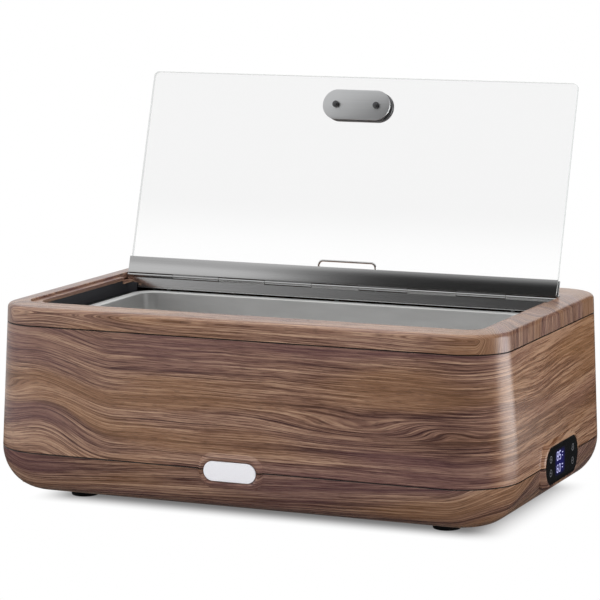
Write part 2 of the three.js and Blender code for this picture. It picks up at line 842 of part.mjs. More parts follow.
function inletCuts() {
  const seat = box(inletX - inletFlangeWidth / 2 - fit, inletX + inletFlangeWidth / 2 + fit, inletSeatY,
    inletSeatY + overrun, inletZ - inletFlangeHeight / 2 - fit, inletZ + inletFlangeHeight / 2 + fit);
  const body = box(inletX - inletBodyWidth / 2 - fit, inletX + inletBodyWidth / 2 + fit,
    inletSeatY - overrun,
    inletSeatY + overrun, inletZ - inletBodyHeight / 2 - fit, inletZ + inletBodyHeight / 2 + fit);
  const holes = [-1, 1].map((side) => barAlongY(inletX + side * inletScrewSpacing / 2, inletSeatY - overrun,
    inletSeatY + overrun, inletZ, inletScrewRadius + boltClearance, screwSides));
  return [seat, body, ...holes];
}

// Top rim: rounded outer edge, crowned top, rebate and ledge for the glass, wide rear deck and hinge pocket.
function topRim() {
  const edge = Array.from({ length: edgeSteps + 1 }, (_, step) => {
    const angle = step / edgeSteps * Math.PI / 2;
    const inset = rimSkirtTaper + rimEdgeRadius * (1 - Math.cos(angle));
    return insetRing(upperLine, inset, rimCreaseZ - rimEdgeRadius * (1 - Math.sin(angle)));
  });
  const opening = { halfLength: openingHalfLength, front: openingFront, rear: deckEdgeY,
    radius: openingCornerRadius };
  const ledge = { halfLength: ledgeHalfLength, front: ledgeFront, rear: hingeBarFront,
    radius: openingCornerRadius };
  const tongueInset = housingWall + fit;
  const skin = loft([
    insetRing(upperLine, 0, rimBottomZ),
    ...edge,
    insetRing(opening, -openingEdgeRound, rimTopZ),
    insetRing(opening, -openingEdgeRound * (1 - Math.SQRT1_2),
      rimTopZ - openingEdgeRound * (1 - Math.SQRT1_2)),
    insetRing(opening, 0, rimTopZ - openingEdgeRound),
    insetRing(opening, 0, ledgeZ),
    insetRing(ledge, 0, ledgeZ),
    insetRing(ledge, 0, rimUnderZ),
    insetRing(upperLine, tongueInset + tongueThickness, rimUnderZ),
    insetRing(upperLine, tongueInset + tongueThickness, bandTopZ - tongueHeight),
    insetRing(upperLine, tongueInset, bandTopZ - tongueHeight),
    insetRing(upperLine, tongueInset, rimBottomZ),
  ], true);
  const housing = join(skin, ...rimBosses(), ...hingeSeat(), ...deckRibs());
  const pocket = box(-openingHalfLength - hingePocketEndGap, openingHalfLength + hingePocketEndGap,
    pocketFront,
    deckEdgeY, pocketZ, rimTopZ + overrun);
  return cut(housing, pocket, ...rimHoles());
}

function rimBosses() {
  const top = rimUnderZ + lap;
  const tieBosses = tiePlaces.map(([x, y]) => bar(x, y, bandTopZ - tiePillarDrop + fit, top,
    tiePillarRadius, bossSides));
  const wellBosses = wellScrewPlaces.map(([x, y]) => bar(x, y, wellFlangeZ + fit, top, wellBossRadius,
    bossSides));
  return [...tieBosses, ...wellBosses];
}

// The bar behind the fixed hinge leaf and the two lugs that floor the hinge pocket.
function hingeSeat() {
  const hingeBar = box(-openingHalfLength, openingHalfLength, hingeBarFront, hingeBarFront + hingeBarDepth,
    hingeBarBottom, rimUnderZ + lap);
  const lugs = [-1, 1].map((side) => {
    const inner = side * (ledgeHalfLength - lap);
    const outer = side * (openingHalfLength + lugReach);
    return box(Math.min(inner, outer), Math.max(inner, outer), pocketFront - lugReach, leafFrontY - fit,
      pocketZ - lugFloor, rimUnderZ + lap);
  });
  return [hingeBar, ...lugs];
}

function deckRibs() {
  const pitch = 2 * openingHalfLength / (deckRibCount + 1);
  return Array.from({ length: deckRibCount }, (_, index) => {
    const x = (index - (deckRibCount - 1) / 2) * pitch;
    return box(x - deckRibThickness / 2, x + deckRibThickness / 2, hingeBarFront + hingeBarDepth - lap,
      rimRear - housingWall, rimUnderZ - deckRibDepth, rimUnderZ + lap);
  });
}

function rimHoles() {
  const ties = tiePlaces.map(([x, y]) => bar(x, y, 0, tieTopZ + lap, tieRadius + boltClearance, screwSides));
  const wells = wellScrewPlaces.map(([x, y]) => bar(x, y, 0, wellFlangeZ + wellScrewLength,
    wellScrewRadius + boltClearance,
    screwSides));
  const wires = [-1, 1].map((side) => bar(side * (wireSpan / 2 - wireRadius), wireY, 0, rimTopZ + overrun,
    wireRadius + boltClearance, screwSides));
  const screws = hingeScrewPlaces().map(([x, y]) => bar(x, y, 0, leafBottomZ + hingeScrewLength + fit,
    hingeScrewRadius + boltClearance, screwSides));
  return [...ties, ...wells, ...wires, ...screws];
}

function hingeScrewPlaces() {
  const y = leafBackY + (leafFlangeDepth - leafThickness) / 2;
  return Array.from({ length: hingeScrewCount }, (_, index) => [
    (index - (hingeScrewCount - 1) / 2) * hingeScrewSpacing, y,
  ]);
}

// Dark sheet-steel strip that lines the opening on three sides, trapped between the ledge and the well.
function openingLiner() {
  const face = { halfLength: ledgeHalfLength, front: ledgeFront, rear: hingeBarFront,
    radius: openingCornerRadius };
  const strip = loft([
    insetRing(face, -linerThickness, linerBottomZ),
    insetRing(face, -linerThickness, linerTopZ - linerThickness),
    insetRing(face, -linerThickness - linerFlange, linerTopZ - linerThickness),
    insetRing(face, -linerThickness - linerFlange, linerTopZ),
    insetRing(face, 0, linerTopZ),
    insetRing(face, 0, linerBottomZ),
  ], true);
  const rear = box(-bodyLength, bodyLength, linerEnd, bodyRear, 0, rimTopZ);
  const lugRoom = box(-bodyLength, bodyLength, pocketFront - lugReach - fit, linerEnd + lap,
    pocketZ - lugFloor - fit,
    rimTopZ);
  return cut(strip, rear, lugRoom);
}

// The length round the front of the opening, with both corners.
function openingLinerFront() {
  return cut(openingLiner(), box(-bodyLength, bodyLength, linerJointY, bodyRear, 0, rimTopZ));
}

// The straight length down one end of the opening.
function openingLinerEnd(side) {
  const front = box(-bodyLength, bodyLength, bodyFront, linerJointY + fit, 0, rimTopZ);
  const otherEnd = box(Math.min(0, -side * bodyLength), Math.max(0, -side * bodyLength), bodyFront,
    bodyRear, 0, rimTopZ);
  return cut(openingLiner(), front, otherEnd);
}

// Deep-drawn enamelled well that hangs from the rim, with four studs under its floor.
function well() {
  const mouth = { halfLength: wellHalfLength, front: wellFront, rear: wellRear, radius: wellRadius };
  const flange = {
    halfLength: wellFlangeHalfLength, front: wellFlangeFront, rear: wellFlangeRear, radius: wellFlangeRadius,
  };
  const rounded = (inset, floorZ, radius) => Array.from({ length: edgeSteps + 1 }, (_, step) => {
    const angle = step / edgeSteps * Math.PI / 2;
    return insetRing(mouth, inset + radius * (1 - Math.sin(angle)), floorZ + radius * (1 - Math.cos(angle)));
  });
  const skin = loft([
    ...rounded(wellTaper - wellWall, wellUnderZ, wellBottomRound),
    insetRing(mouth, -wellWall, wellFlangeZ - wellWall),
    insetRing(flange, 0, wellFlangeZ - wellWall),
    insetRing(flange, 0, wellFlangeZ),
    insetRing(mouth, 0, wellFlangeZ),
    ...rounded(wellTaper, wellFloorZ, wellBottomRound - wellWall).reverse(),
  ]);
  const studEnd = shieldTopZ - shieldThickness - nutHeight - studTail;
  const studs = studPlaces.flatMap(([x, y]) => [
    bar(x, y, studEnd, wellUnderZ + lap / 2, studRadius, screwSides),
    bar(x, y, shieldTopZ + fit, wellUnderZ + lap / 2, studShoulderRadius, screwSides),
  ]);
  const holes = wellScrewPlaces.map(([x, y]) => bar(x, y, wellFlangeZ - overrun, wellFlangeZ + overrun,
    wellScrewRadius + boltClearance, screwSides));
  return cut(join(skin, ...studs), ...holes);
}

const studPlaces = [[-1, -1], [1, -1], [-1, 1], [1, 1]]
  .map(([sideX, sideY]) => [sideX * studX, wellCentreY + sideY * studY]);

// Drawn steel food pan with a hemmed flange that rests on the well.
function foodPan() {
  const flange = { halfLength: panFlangeHalfLength, front: panFlangeFront, rear: panFlangeRear,
    radius: panFlangeRadius };
  const wallLow = panFloorZ - panWall;
  const rounded = (inset, floorZ, radius) => Array.from({ length: edgeSteps + 1 }, (_, step) => {
    const angle = step / edgeSteps * Math.PI / 2;
    const shift = radius * (1 - Math.sin(angle));
    return insetRing(flange, panFlangeWidth + inset + shift, floorZ + radius * (1 - Math.cos(angle)));
  });
  return loft([
    ...rounded(panTaper - panWall, wallLow, panBottomRound + panWall),
    insetRing(flange, panFlangeWidth - panWall, panFlangeTopZ - panWall - panMouthRound),
    insetRing(flange, panFlangeWidth - panWall - panMouthRound, panFlangeTopZ - panWall),
    insetRing(flange, panWall, panFlangeTopZ - panWall),
    insetRing(flange, panWall, panFlangeTopZ - panHemDrop),
    insetRing(flange, 0, panFlangeTopZ - panHemDrop),
    insetRing(flange, 0, panFlangeTopZ - panWall / 2),
    insetRing(flange, panWall / 2, panFlangeTopZ),
    insetRing(flange, panFlangeWidth - panMouthRound, panFlangeTopZ),
    insetRing(flange, panFlangeWidth, panFlangeTopZ - panMouthRound),
    ...rounded(panTaper, panFloorZ, panBottomRound).reverse(),
  ]);
}

// Tubular element in four rows, with both terminals turned down on the right.
function heatingElement() {
  const at = (x, row, z = elementZ) => new THREE.Vector3(x, wellCentreY + row, z);
  return tube([
    at(elementTerminalX, -elementOuterRow),
    at(elementLeft, -elementOuterRow),
    at(elementLeft, -elementInnerRow),
    at(elementRight, -elementInnerRow),
    at(elementRight, elementInnerRow),
    at(elementLeft, elementInnerRow),
    at(elementLeft, elementOuterRow),
    at(elementTerminalX, elementOuterRow),
  ], elementRadius, elementBend);
}

// Welded strap that holds the rows of the element up against the well.
function elementClamp() {
  const stripTop = elementZ - elementRadius - fit;
  const legInner = clampHalfSpan - clampThickness;
  const strip = box(-clampWidth / 2, clampWidth / 2, -clampHalfSpan, clampHalfSpan,
    stripTop - clampThickness, stripTop);
  const legs = [-1, 1].map((side) => box(-clampWidth / 2, clampWidth / 2,
    Math.min(side * legInner, side * clampHalfSpan),
    Math.max(side * legInner, side * clampHalfSpan), stripTop - clampThickness, wellUnderZ - fit));
  return join(strip, ...legs);
}

// Reflector tray under the element, hung on the well's studs.
function heatShield() {
  const outline = {
    halfLength: shieldHalfLength,
    front: wellCentreY - shieldHalfDepth,
    rear: wellCentreY + shieldHalfDepth,
    radius: shieldRadius,
  };
  const underZ = shieldTopZ - shieldThickness;
  const tray = loft([
    insetRing(outline, shieldThickness, underZ),
    insetRing(outline, 0, underZ + shieldThickness),
    insetRing(outline, 0, shieldTopZ + shieldUpstand),
    insetRing(outline, shieldThickness, shieldTopZ + shieldUpstand),
    insetRing(outline, shieldThickness, shieldTopZ),
  ]);
  const holes = studPlaces.map(([x, y]) => bar(x, y, underZ - lap, shieldTopZ + lap,
    studRadius + boltClearance, screwSides));
  return cut(tray, ...holes);
}

function thermalCutout() {
  const top = wellUnderZ - fit;
  return join(
    bar(cutoutX, wellCentreY, top - cutoutHeight, top, cutoutRadius),
    box(cutoutX - cutoutFlangeLength / 2, cutoutX + cutoutFlangeLength / 2, wellCentreY - cutoutRadius / 2,
      wellCentreY + cutoutRadius / 2, top - cutoutFlangeThickness, top),
  );
}

// Rubber foot with a recess for its screw.
function foot() {
  return cut(
    bar(0, 0, 0, footHeight - fit, footBottomRadius, roundSides, footTopRadius),
    bar(0, 0, -lap, footRecessDepth, footRecessRadius, bossSides),
    bar(0, 0, 0, footHeight + lap, footScrewRadius + boltClearance, screwSides),
  );
}

function badgePlate() {
  const back = -badgeFaceY - badgeRecess + fit;
  const body = facingFront(plate(obroundPoints(badgeWidth, badgeHeight), back, back + badgeThickness),
    badgeCentreZ);
  const pins = [-1, 1].map((side) => barAlongY(side * badgePinSpacing / 2, -back - lap / 2,
    -back + badgePinLength,
    badgeCentreZ, badgePinRadius, screwSides));
  return join(body, ...pins);
}

// Black carrier that holds the panel glass in front and the control board on two posts behind.
function controlBezel() {
  const body = plate(barrelPoints(panelWidth, panelHeight, panelBulge), bezelBackX, panelFaceX);
  const recess = plate(barrelPoints(panelWidth - 2 * bezelBorder, panelHeight - 2 * bezelBorder, panelBulge),
    panelFaceX - panelGlassThickness - fit, panelFaceX + overrun);
  const shaped = facingRight(cut(body, recess), panelCentreY, panelCentreZ);
  const posts = bezelPostPlaces().map((y) => barAlongX(bezelBackX - bezelPostLength, bezelBackX + lap / 2,
    y, panelCentreZ,
    bezelPostRadius, screwSides));
  const window = box(bezelBackX - lap, panelFaceX, panelCentreY - windowWidth / 2,
    panelCentreY + windowWidth / 2,
    panelCentreZ - windowHeight / 2, panelCentreZ + windowHeight / 2);
  const holes = bezelPostPlaces().map((y) => barAlongX(boardX,
    bezelBackX - bezelPostLength + boardScrewLength, y,
    panelCentreZ, boardScrewRadius + boltClearance, screwSides));
  return cut(join(shaped, ...posts), window, ...holes);
}

function bezelPostPlaces() {
  return [-1, 1].map((side) => panelCentreY + side * bezelPostSpacing / 2);
}

function controlGlass() {
  const border = bezelBorder + fit;
  const outline = barrelPoints(panelWidth - 2 * border, panelHeight - 2 * border, panelBulge);
  return facingRight(plate(outline, panelFaceX - panelGlassThickness, panelFaceX), panelCentreY,
    panelCentreZ);
}

function displayModule() {
  const front = panelFaceX - panelGlassThickness - fit;
  return box(front - displayThickness, front, panelCentreY - displayWidth / 2,
    panelCentreY + displayWidth / 2,
    panelCentreZ - displayHeight / 2, panelCentreZ + displayHeight / 2);
}

function controlBoard() {
  const halfWidth = boardWidth / 2;
  const halfHeight = boardHeight / 2;
  const board = box(boardX - boardThickness, boardX, panelCentreY - halfWidth, panelCentreY + halfWidth,
    panelCentreZ - halfHeight, panelCentreZ + halfHeight);
  const chip = box(boardX - boardThickness - chipThickness, boardX - boardThickness / 2,
    panelCentreY - chipWidth,
    panelCentreY, panelCentreZ - chipDrop, panelCentreZ - chipDrop + chipWidth);
  const displayBack = panelFaceX - panelGlassThickness - fit - displayThickness;
  const header = box(boardX - boardThickness / 2, displayBack - fit,
    panelCentreY - displayWidth / 2 + chipDrop,
    panelCentreY + displayWidth / 2 - chipDrop, panelCentreZ - chipThickness, panelCentreZ + chipThickness);
  const holes = bezelPostPlaces().map((y) => barAlongX(boardX - overrun, boardX + lap, y, panelCentreZ,
    boardScrewRadius + boltClearance, screwSides));
  return cut(join(board, chip, header), ...holes);
}

function powerBoard() {
  const left = powerBoardX - powerBoardLength / 2;
  const front = powerBoardY - powerBoardDepth / 2;
  const top = powerBoardZ + boardThickness;
  const board = box(left, left + powerBoardLength, front, front + powerBoardDepth, powerBoardZ, top);
  const relay = box(powerBoardX - relayLength / 2, powerBoardX + relayLength / 2,
    powerBoardY - relayDepth / 2,
    powerBoardY + relayDepth / 2, top - boardThickness / 2, top + relayHeight);
  const terminals = box(powerBoardX - terminalLength / 2, powerBoardX + terminalLength / 2,
    front + powerBoardDepth - terminalDepth, front + powerBoardDepth, top - boardThickness / 2,
      top + terminalHeight);
  const holes = powerPostPlaces.map(([x, y]) => bar(x, y, powerBoardZ - lap, top + lap,
    powerPinRadius + boltClearance,
    screwSides));
  return cut(join(board, relay, terminals), ...holes);
}

// A panel outline with its two lower corners cut, drawn on X-Z.
function cutCornerPrism(width, height, corner, yLow, yHigh) {
  const shape = new THREE.Shape([
    new THREE.Vector2(corner - width / 2, -height / 2),
    new THREE.Vector2(width / 2 - corner, -height / 2),
    new THREE.Vector2(width / 2, corner - height / 2),
    new THREE.Vector2(width / 2, height / 2),
    new THREE.Vector2(-width / 2, height / 2),
    new THREE.Vector2(-width / 2, corner - height / 2),
  ]);
  const prism = new THREE.ExtrudeGeometry(shape, { depth: yHigh - yLow, bevelEnabled: false });
  return prism.rotateX(Math.PI / 2).translate(0, yHigh, 0);
}

// Appliance inlet with a shrouded socket and three blades.
function powerInlet() {
  const back = inletSeatY + fit;
  const face = back + inletFlangeThickness;
  const flange = box(-inletFlangeWidth / 2, inletFlangeWidth / 2, back, face, -inletFlangeHeight / 2,
    inletFlangeHeight / 2);
  const body = cutCornerPrism(inletBodyWidth, inletBodyHeight, inletCornerCut, face - inletBodyDepth,
    face - lap / 2);
  const socket = cutCornerPrism(socketWidth, socketHeight, socketCornerCut, face - socketDepth, face + lap);
  const bladeBack = face - socketDepth - lap;
  const blade = (x, z) => box(x - bladeWidth / 2, x + bladeWidth / 2, bladeBack,
    face - socketDepth + bladeLength,
    z - bladeHeight / 2, z + bladeHeight / 2);
  const blades = [blade(-bladeSpacing / 2, -bladeDrop), blade(bladeSpacing / 2, -bladeDrop),
    blade(0, bladeRise)];
  const holes = [-1, 1].map((side) => barAlongY(side * inletScrewSpacing / 2, back - lap, face + lap, 0,
    inletScrewRadius + boltClearance, screwSides));
  return join(cut(join(flange, body), socket, ...holes), ...blades).translate(inletX, 0, inletZ);
}

// Fixed hinge leaf: a chamfered strip with a hem, a return flange under the bar, and every second knuckle.
function hingeFixedLeaf() {
  const half = hingeLength / 2;
  const drop = leafDrop;
  const outline = new THREE.Shape([
    new THREE.Vector2(leafChamferWidth - half, -drop),
    new THREE.Vector2(half - leafChamferWidth, -drop),
    new THREE.Vector2(half, leafChamferHeight - drop),
    new THREE.Vector2(half, 0),
    new THREE.Vector2(-half, 0),
    new THREE.Vector2(-half, leafChamferHeight - drop),
  ]);
  const strip = new THREE.ExtrudeGeometry(outline, { depth: leafThickness, bevelEnabled: false })
    .rotateX(Math.PI / 2).translate(0, leafBackY, hingeZ);
  const flange = box(leafChamferWidth - half, half - leafChamferWidth, leafFrontY,
    leafFrontY + leafFlangeDepth,
    leafBottomZ - leafThickness, leafBottomZ);
  const hem = barAlongX(leafChamferWidth - half, half - leafChamferWidth, leafFrontY,
    leafBottomZ - leafThickness / 2 + fit,
    leafHemRadius, screwSides);
  const fixedKnuckles = knuckleSpans(0)
    .map(([low, high]) => barAlongX(low, high, hingeY, hingeZ, knuckleRadius, knuckleSides));
  const clearance = knuckleRadius + knuckleGap;
  const windows = knuckleSpans(1).map(([low, high]) => box(low - knuckleGap, high + knuckleGap,
    leafFrontY - lap,
    hingeY + knuckleRadius, hingeZ - clearance, hingeZ + lap));
  const bore = barAlongX(-hingeLength, hingeLength, hingeY, hingeZ, rodRadius + rodClearance, screwSides);
  const holes = hingeScrewPlaces().map(([x, y]) => bar(x, y, leafBottomZ - overrun, leafBottomZ + fit,
    hingeScrewRadius + boltClearance, screwSides));
  const blank = cut(join(strip, flange, hem), ...windows);
  return cut(join(blank, ...fixedKnuckles), bore, ...holes);
}

// Knuckle spans along X: even ones are fixed and odd ones move with the lid.
function knuckleSpans(parity) {
  const pitch = hingeLength / knuckleCount;
  return Array.from({ length: knuckleCount }, (_, index) => index)
    .filter((index) => index % 2 === parity)
    .map((index) => [
      index * pitch - hingeLength / 2 + (index > 0 ? knuckleGap / 2 : 0),
      (index + 1) * pitch - hingeLength / 2 - (index < knuckleCount - 1 ? knuckleGap / 2 : 0),
    ]);
}

// Folded steel channel that grips the glass, in the lid's own frame: Z up the lid and Y behind it.
function lidChannel() {
  const half = hingeLength / 2;
  const top = channelStart + channelHeight;
  const body = box(-half, half, channelFront, channelBack, channelStart, top);
  const slot = box(-half - lap, half + lap, channelInner, channelBack - channelWall,
    channelStart + channelWall, top + lap);
  const knuckles = knuckleSpans(1).flatMap(([low, high]) => [
    barAlongX(low, high, 0, 0, knuckleRadius, knuckleSides),
    box(low, high, channelFront, channelInner, 0, channelStart + lap / 2),
  ]);
  const bore = barAlongX(-hingeLength, hingeLength, 0, 0, rodRadius + rodClearance, screwSides);
  return cut(join(cut(body, slot), ...knuckles), bore);
}

function lidGasket() {
  const half = hingeLength / 2 - lap;
  const bottom = channelStart + channelWall + fit;
  const top = channelStart + channelHeight - gasketSetback;
  const body = box(-half, half, gasketOuter, glassBack + fit + gasketThickness, bottom, top);
  const slot = box(-half - lap, half + lap, gasketInner, glassBack + fit, bottom + gasketThickness,
    top + lap);
  return cut(body, slot);
}

// Toughened glass with rounded front corners and two bolt holes.
function lidGlass() {
  const bottom = channelStart + channelWall + fit + gasketThickness + fit;
  const outline = { halfLength: hingeLength / 2 - lap, front: bottom, rear: glassReach,
    radius: glassCornerRadius };
  const pane = loft([insetRing(outline, 0, 0), insetRing(outline, 0, glassThickness)])
    .rotateX(Math.PI / 2).translate(0, glassBack, 0);
  const holes = handleBoltPlaces().map((x) => barAlongY(x, 0, glassBack + lap, handleReach,
    handleBoltRadius + boltClearance + fit, screwSides));
  return cut(pane, ...holes);
}

function handleBoltPlaces() {
  return [-1, 1].map((side) => side * handleBoltSpacing / 2);
}

// Pill-shaped grip outside the lid, waisted where fingers go under its edge.
function handleOuter() {
  const back = glassBack + fit;
  const crown = handleThickness - handleEdgeRound;
  const neck = obroundPoints(handleFootLength, handleFootHeight);
  const head = obroundPoints(handleLength, handleHeight);
  const shoulder = obroundPoints(handleLength - handleEdgeRound / 2, handleHeight - handleEdgeRound / 2);
  const top = obroundPoints(handleLength - 2 * handleEdgeRound, handleHeight - 2 * handleEdgeRound);
  const grip = loft([
    outlineRing(neck, 0),
    outlineRing(neck, handleFootThickness),
    outlineRing(head, handleFootThickness + handleEdgeRound),
    outlineRing(head, crown),
    outlineRing(shoulder, crown + handleEdgeRound / 2),
    outlineRing(top, handleThickness),
  ]).rotateX(-Math.PI / 2).translate(0, back, handleReach);
  const holes = handleBoltPlaces().map((x) => barAlongY(x, back - lap, back + handleBoltDepth + fit,
    handleReach,
    handleBoltRadius + boltClearance, screwSides));
  return cut(grip, ...holes);
}

function handleInnerPlate() {
  const back = glassOffset - fit;
  const body = plate(obroundPoints(handleLength, handleHeight), 0, handlePlateThickness)
    .rotateX(-Math.PI / 2).translate(0, back - handlePlateThickness, handleReach);
  const holes = handleBoltPlaces().map((x) => barAlongY(x, back - handlePlateThickness - lap, back + lap,
    handleReach,
    handleBoltRadius + boltClearance, screwSides));
  return cut(body, ...holes);
}

// Slotted bolt through the inner plate and the glass into the grip.
function handleBolt() {
  const seat = glassOffset - fit - handlePlateThickness - fit;
  const length = glassBack + fit + handleBoltDepth - seat;
  return screwUp(0, length, handleBoltRadius, handleBoltHeadRadius, handleBoltHeadHeight)
    .rotateX(-Math.PI / 2).translate(0, seat, 0);
}

// Bent wire loop that stands on the deck, with its ends nutted below.
function wireLoop() {
  const half = wireSpan / 2 - wireRadius;
  const top = rimTopZ + wireHeight - wireRadius;
  const bottom = rimUnderZ - wireNutHeight - wireTail;
  return tube([
    new THREE.Vector3(-half, wireY, bottom),
    new THREE.Vector3(-half, wireY, top),
    new THREE.Vector3(half, wireY, top),
    new THREE.Vector3(half, wireY, bottom),
  ], wireRadius, wireBend);
}

// The assembly
const chafingDish = new THREE.Group();

function addHousing() {
  chafingDish.add(named('base_shell', baseShell(), 'wood'));
  chafingDish.add(named('body_band', bodyBand(), 'wood'));
  chafingDish.add(named('top_rim', topRim(), 'wood'));
  chafingDish.add(named('opening_liner_front', openingLinerFront(), 'darkSteel'));
  chafingDish.add(named('opening_liner_left', openingLinerEnd(-1), 'darkSteel'));
  chafingDish.add(named('opening_liner_right', openingLinerEnd(1), 'darkSteel'));
  chafingDish.add(named('badge_plate', badgePlate(), 'badge'));
  footPlaces.forEach(([x, y], index) => {
    chafingDish.add(placed(named(`foot_${index + 1}`, foot(), 'rubber'), x, y));
    const screw = screwUp(footRecessDepth - fit, footScrewTop - footRecessDepth, footScrewRadius,
      footScrewHeadRadius,
      footScrewHeadHeight);
    chafingDish.add(placed(named(`foot_screw_${index + 1}`, screw, 'steel'), x, y));
  });
  tiePlaces.forEach(([x, y], index) => {
    const screw = screwUp(tieSeatZ - fit, tieTopZ - tieSeatZ, tieRadius, tieHeadRadius, tieHeadHeight);
    chafingDish.add(placed(named(`tie_screw_${index + 1}`, screw, 'steel'), x, y));
  });
}

function addControls() {
  chafingDish.add(named('control_bezel', controlBezel(), 'blackPlastic'));
  chafingDish.add(named('control_glass', controlGlass(), 'blackGlass'));
  chafingDish.add(named('display_module', displayModule(), 'display'));
  chafingDish.add(named('control_board', controlBoard(), 'board'));
  bezelPostPlaces().forEach((y, index) => {
    const screw = screwUp(0, boardScrewLength - fit, boardScrewRadius, boardScrewHeadRadius,
      boardScrewHeadHeight)
      .rotateY(Math.PI / 2);
    const seat = boardX - boardThickness - fit;
    chafingDish.add(placed(named(`board_screw_${index + 1}`, screw, 'steel'), seat, y, panelCentreZ));
  });
  chafingDish.add(named('power_board', powerBoard(), 'board'));
  chafingDish.add(named('power_inlet', powerInlet(), 'blackPlastic'));
  [-1, 1].forEach((side, index) => {
    const screw = screwUp(0, inletScrewLength, inletScrewRadius, inletScrewHeadRadius, inletScrewHeadHeight)
      .rotateX(Math.PI / 2);
    const seat = inletSeatY + fit + inletFlangeThickness + fit;
    const x = inletX + side * inletScrewSpacing / 2;
    chafingDish.add(placed(named(`inlet_screw_${index + 1}`, screw, 'steel'), x, seat, inletZ));
  });
}

function addHeater() {
  chafingDish.add(named('well', well(), 'enamel'));
  wellScrewPlaces.forEach(([x, y], index) => {
    const screw = screwUp(wellFlangeZ - wellWall - fit, wellScrewLength, wellScrewRadius,
      wellScrewHeadRadius,
      wellScrewHeadHeight);
    chafingDish.add(placed(named(`well_screw_${index + 1}`, screw, 'steel'), x, y));
  });
  chafingDish.add(named('heating_element', heatingElement(), 'element'));
  [-1, 1].forEach((side, index) => {
    chafingDish.add(placed(named(`element_clamp_${index + 1}`, elementClamp(), 'steel'), side * clampX,
      wellCentreY));
  });
  chafingDish.add(named('heat_shield', heatShield(), 'steel'));
  studPlaces.forEach(([x, y], index) => {
    const nut = hexNut(shieldTopZ - shieldThickness - fit - nutHeight, nutHeight,
      studRadius + boltClearance);
    chafingDish.add(placed(named(`shield_nut_${index + 1}`, nut, 'steel'), x, y));
  });
  const sensor = barAlongX(sensorX, sensorX + sensorLength, wellCentreY, wellUnderZ - fit - sensorRadius,
    sensorRadius,
    screwSides);
  chafingDish.add(named('temperature_sensor', sensor, 'steel'));
  chafingDish.add(named('thermal_cutout', thermalCutout(), 'blackPlastic'));
  chafingDish.add(named('food_pan', foodPan(), 'pan'));
}

function addHinge() {
  chafingDish.add(named('hinge_fixed_leaf', hingeFixedLeaf(), 'steel'));
  const rod = barAlongX(-hingeLength / 2, hingeLength / 2, hingeY, hingeZ, rodRadius, screwSides);
  chafingDish.add(named('hinge_rod', rod, 'steel'));
  hingeScrewPlaces().forEach(([x, y], index) => {
    const screw = screwUp(leafBottomZ - leafThickness - fit, hingeScrewLength, hingeScrewRadius,
      hingeScrewHeadRadius,
      hingeScrewHeadHeight);
    chafingDish.add(placed(named(`hinge_screw_${index + 1}`, screw, 'steel'), x, y));
  });
  chafingDish.add(named('wire_loop', wireLoop(), 'steel'));
  [-1, 1].forEach((side, index) => {
    const nut = hexNut(rimUnderZ - fit - wireNutHeight, wireNutHeight, wireRadius + boltClearance);
    chafingDish.add(placed(named(`wire_nut_${index + 1}`, nut, 'steel'), side * (wireSpan / 2 - wireRadius),
      wireY));
  });
}

// The lid hangs on the hinge line and leans back behind it.
function addLid() {
  const lid = new THREE.Group();
  lid.position.set(0, hingeY, hingeZ);
  lid.rotation.x = -lean;
  lid.add(named('lid_channel', lidChannel(), 'steel'));
  lid.add(named('lid_gasket', lidGasket(), 'rubber'));
  lid.add(named('lid_glass', lidGlass(), 'glass'));
  lid.add(named('handle_outer', handleOuter(), 'steel'));
  lid.add(named('handle_inner_plate', handleInnerPlate(), 'steel'));
  handleBoltPlaces().forEach((x, index) => {
    lid.add(placed(named(`handle_bolt_${index + 1}`, handleBolt(), 'steel'), x, 0, handleReach));
  });
  chafingDish.add(lid);
}

addHousing();
addControls();
addHeater();
addHinge();
addLid();

export default chafingDish;
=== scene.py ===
import json
import math

import bmesh
import bpy
from mathutils import Matrix, Vector


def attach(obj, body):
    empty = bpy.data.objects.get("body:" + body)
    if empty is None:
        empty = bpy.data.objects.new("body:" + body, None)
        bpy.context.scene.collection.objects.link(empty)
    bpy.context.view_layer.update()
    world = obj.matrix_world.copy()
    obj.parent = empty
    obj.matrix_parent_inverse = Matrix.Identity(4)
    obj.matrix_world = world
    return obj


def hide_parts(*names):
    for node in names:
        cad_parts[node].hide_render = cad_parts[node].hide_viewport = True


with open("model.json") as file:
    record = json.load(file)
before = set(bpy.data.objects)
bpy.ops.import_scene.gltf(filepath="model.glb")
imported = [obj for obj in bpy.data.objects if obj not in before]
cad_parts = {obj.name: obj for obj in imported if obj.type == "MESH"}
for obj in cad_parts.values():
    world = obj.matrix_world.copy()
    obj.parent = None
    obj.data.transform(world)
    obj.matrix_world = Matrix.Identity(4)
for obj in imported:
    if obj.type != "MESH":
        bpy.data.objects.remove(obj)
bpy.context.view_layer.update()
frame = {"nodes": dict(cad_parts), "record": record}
scene = bpy.context.scene

METRES_PER_MM = 0.001
MM_PER_METRE = 1000

# Sizes in millimetres, in the frame of the model
FIT = 0.3
EASE = 0.4
WALL = 4
SEAM = 0.6
SHEET = 1.2
FOOT_HEIGHT = 12
PART_LINE = 64
BASE_INSET = 48
BAND_TOP = 213.6
RIM_CREASE = 236.1
RIM_TOP = 238.5
RIM_UNDER = 231.4
RIM_ROUND = 5.5
LEDGE_Z = 235.6
DECK_EDGE = 114.78
POCKET_FLOOR = 229.7
LUG_FRONT = 74
LUG_BOTTOM = 227.4
HINGE_Y = 104
HINGE_Z = 235.5
HINGE_HALF = 285.5
LEAN = math.radians(17)
KNUCKLE = 2.4
KNUCKLE_GAP = 0.5
KNUCKLES = 9
LEAF_FRONT = 101.6
LEAF_BOTTOM = 221.2
LEAF_THICK = 1.1
WIRE_HALF = 38.1
WIRE_Y = 141
PANEL_X = 328.8
PANEL_Z = 63.5
BADGE_Y = -215
BADGE_Z = 63
INLET_X = 190
INLET_Z = 100
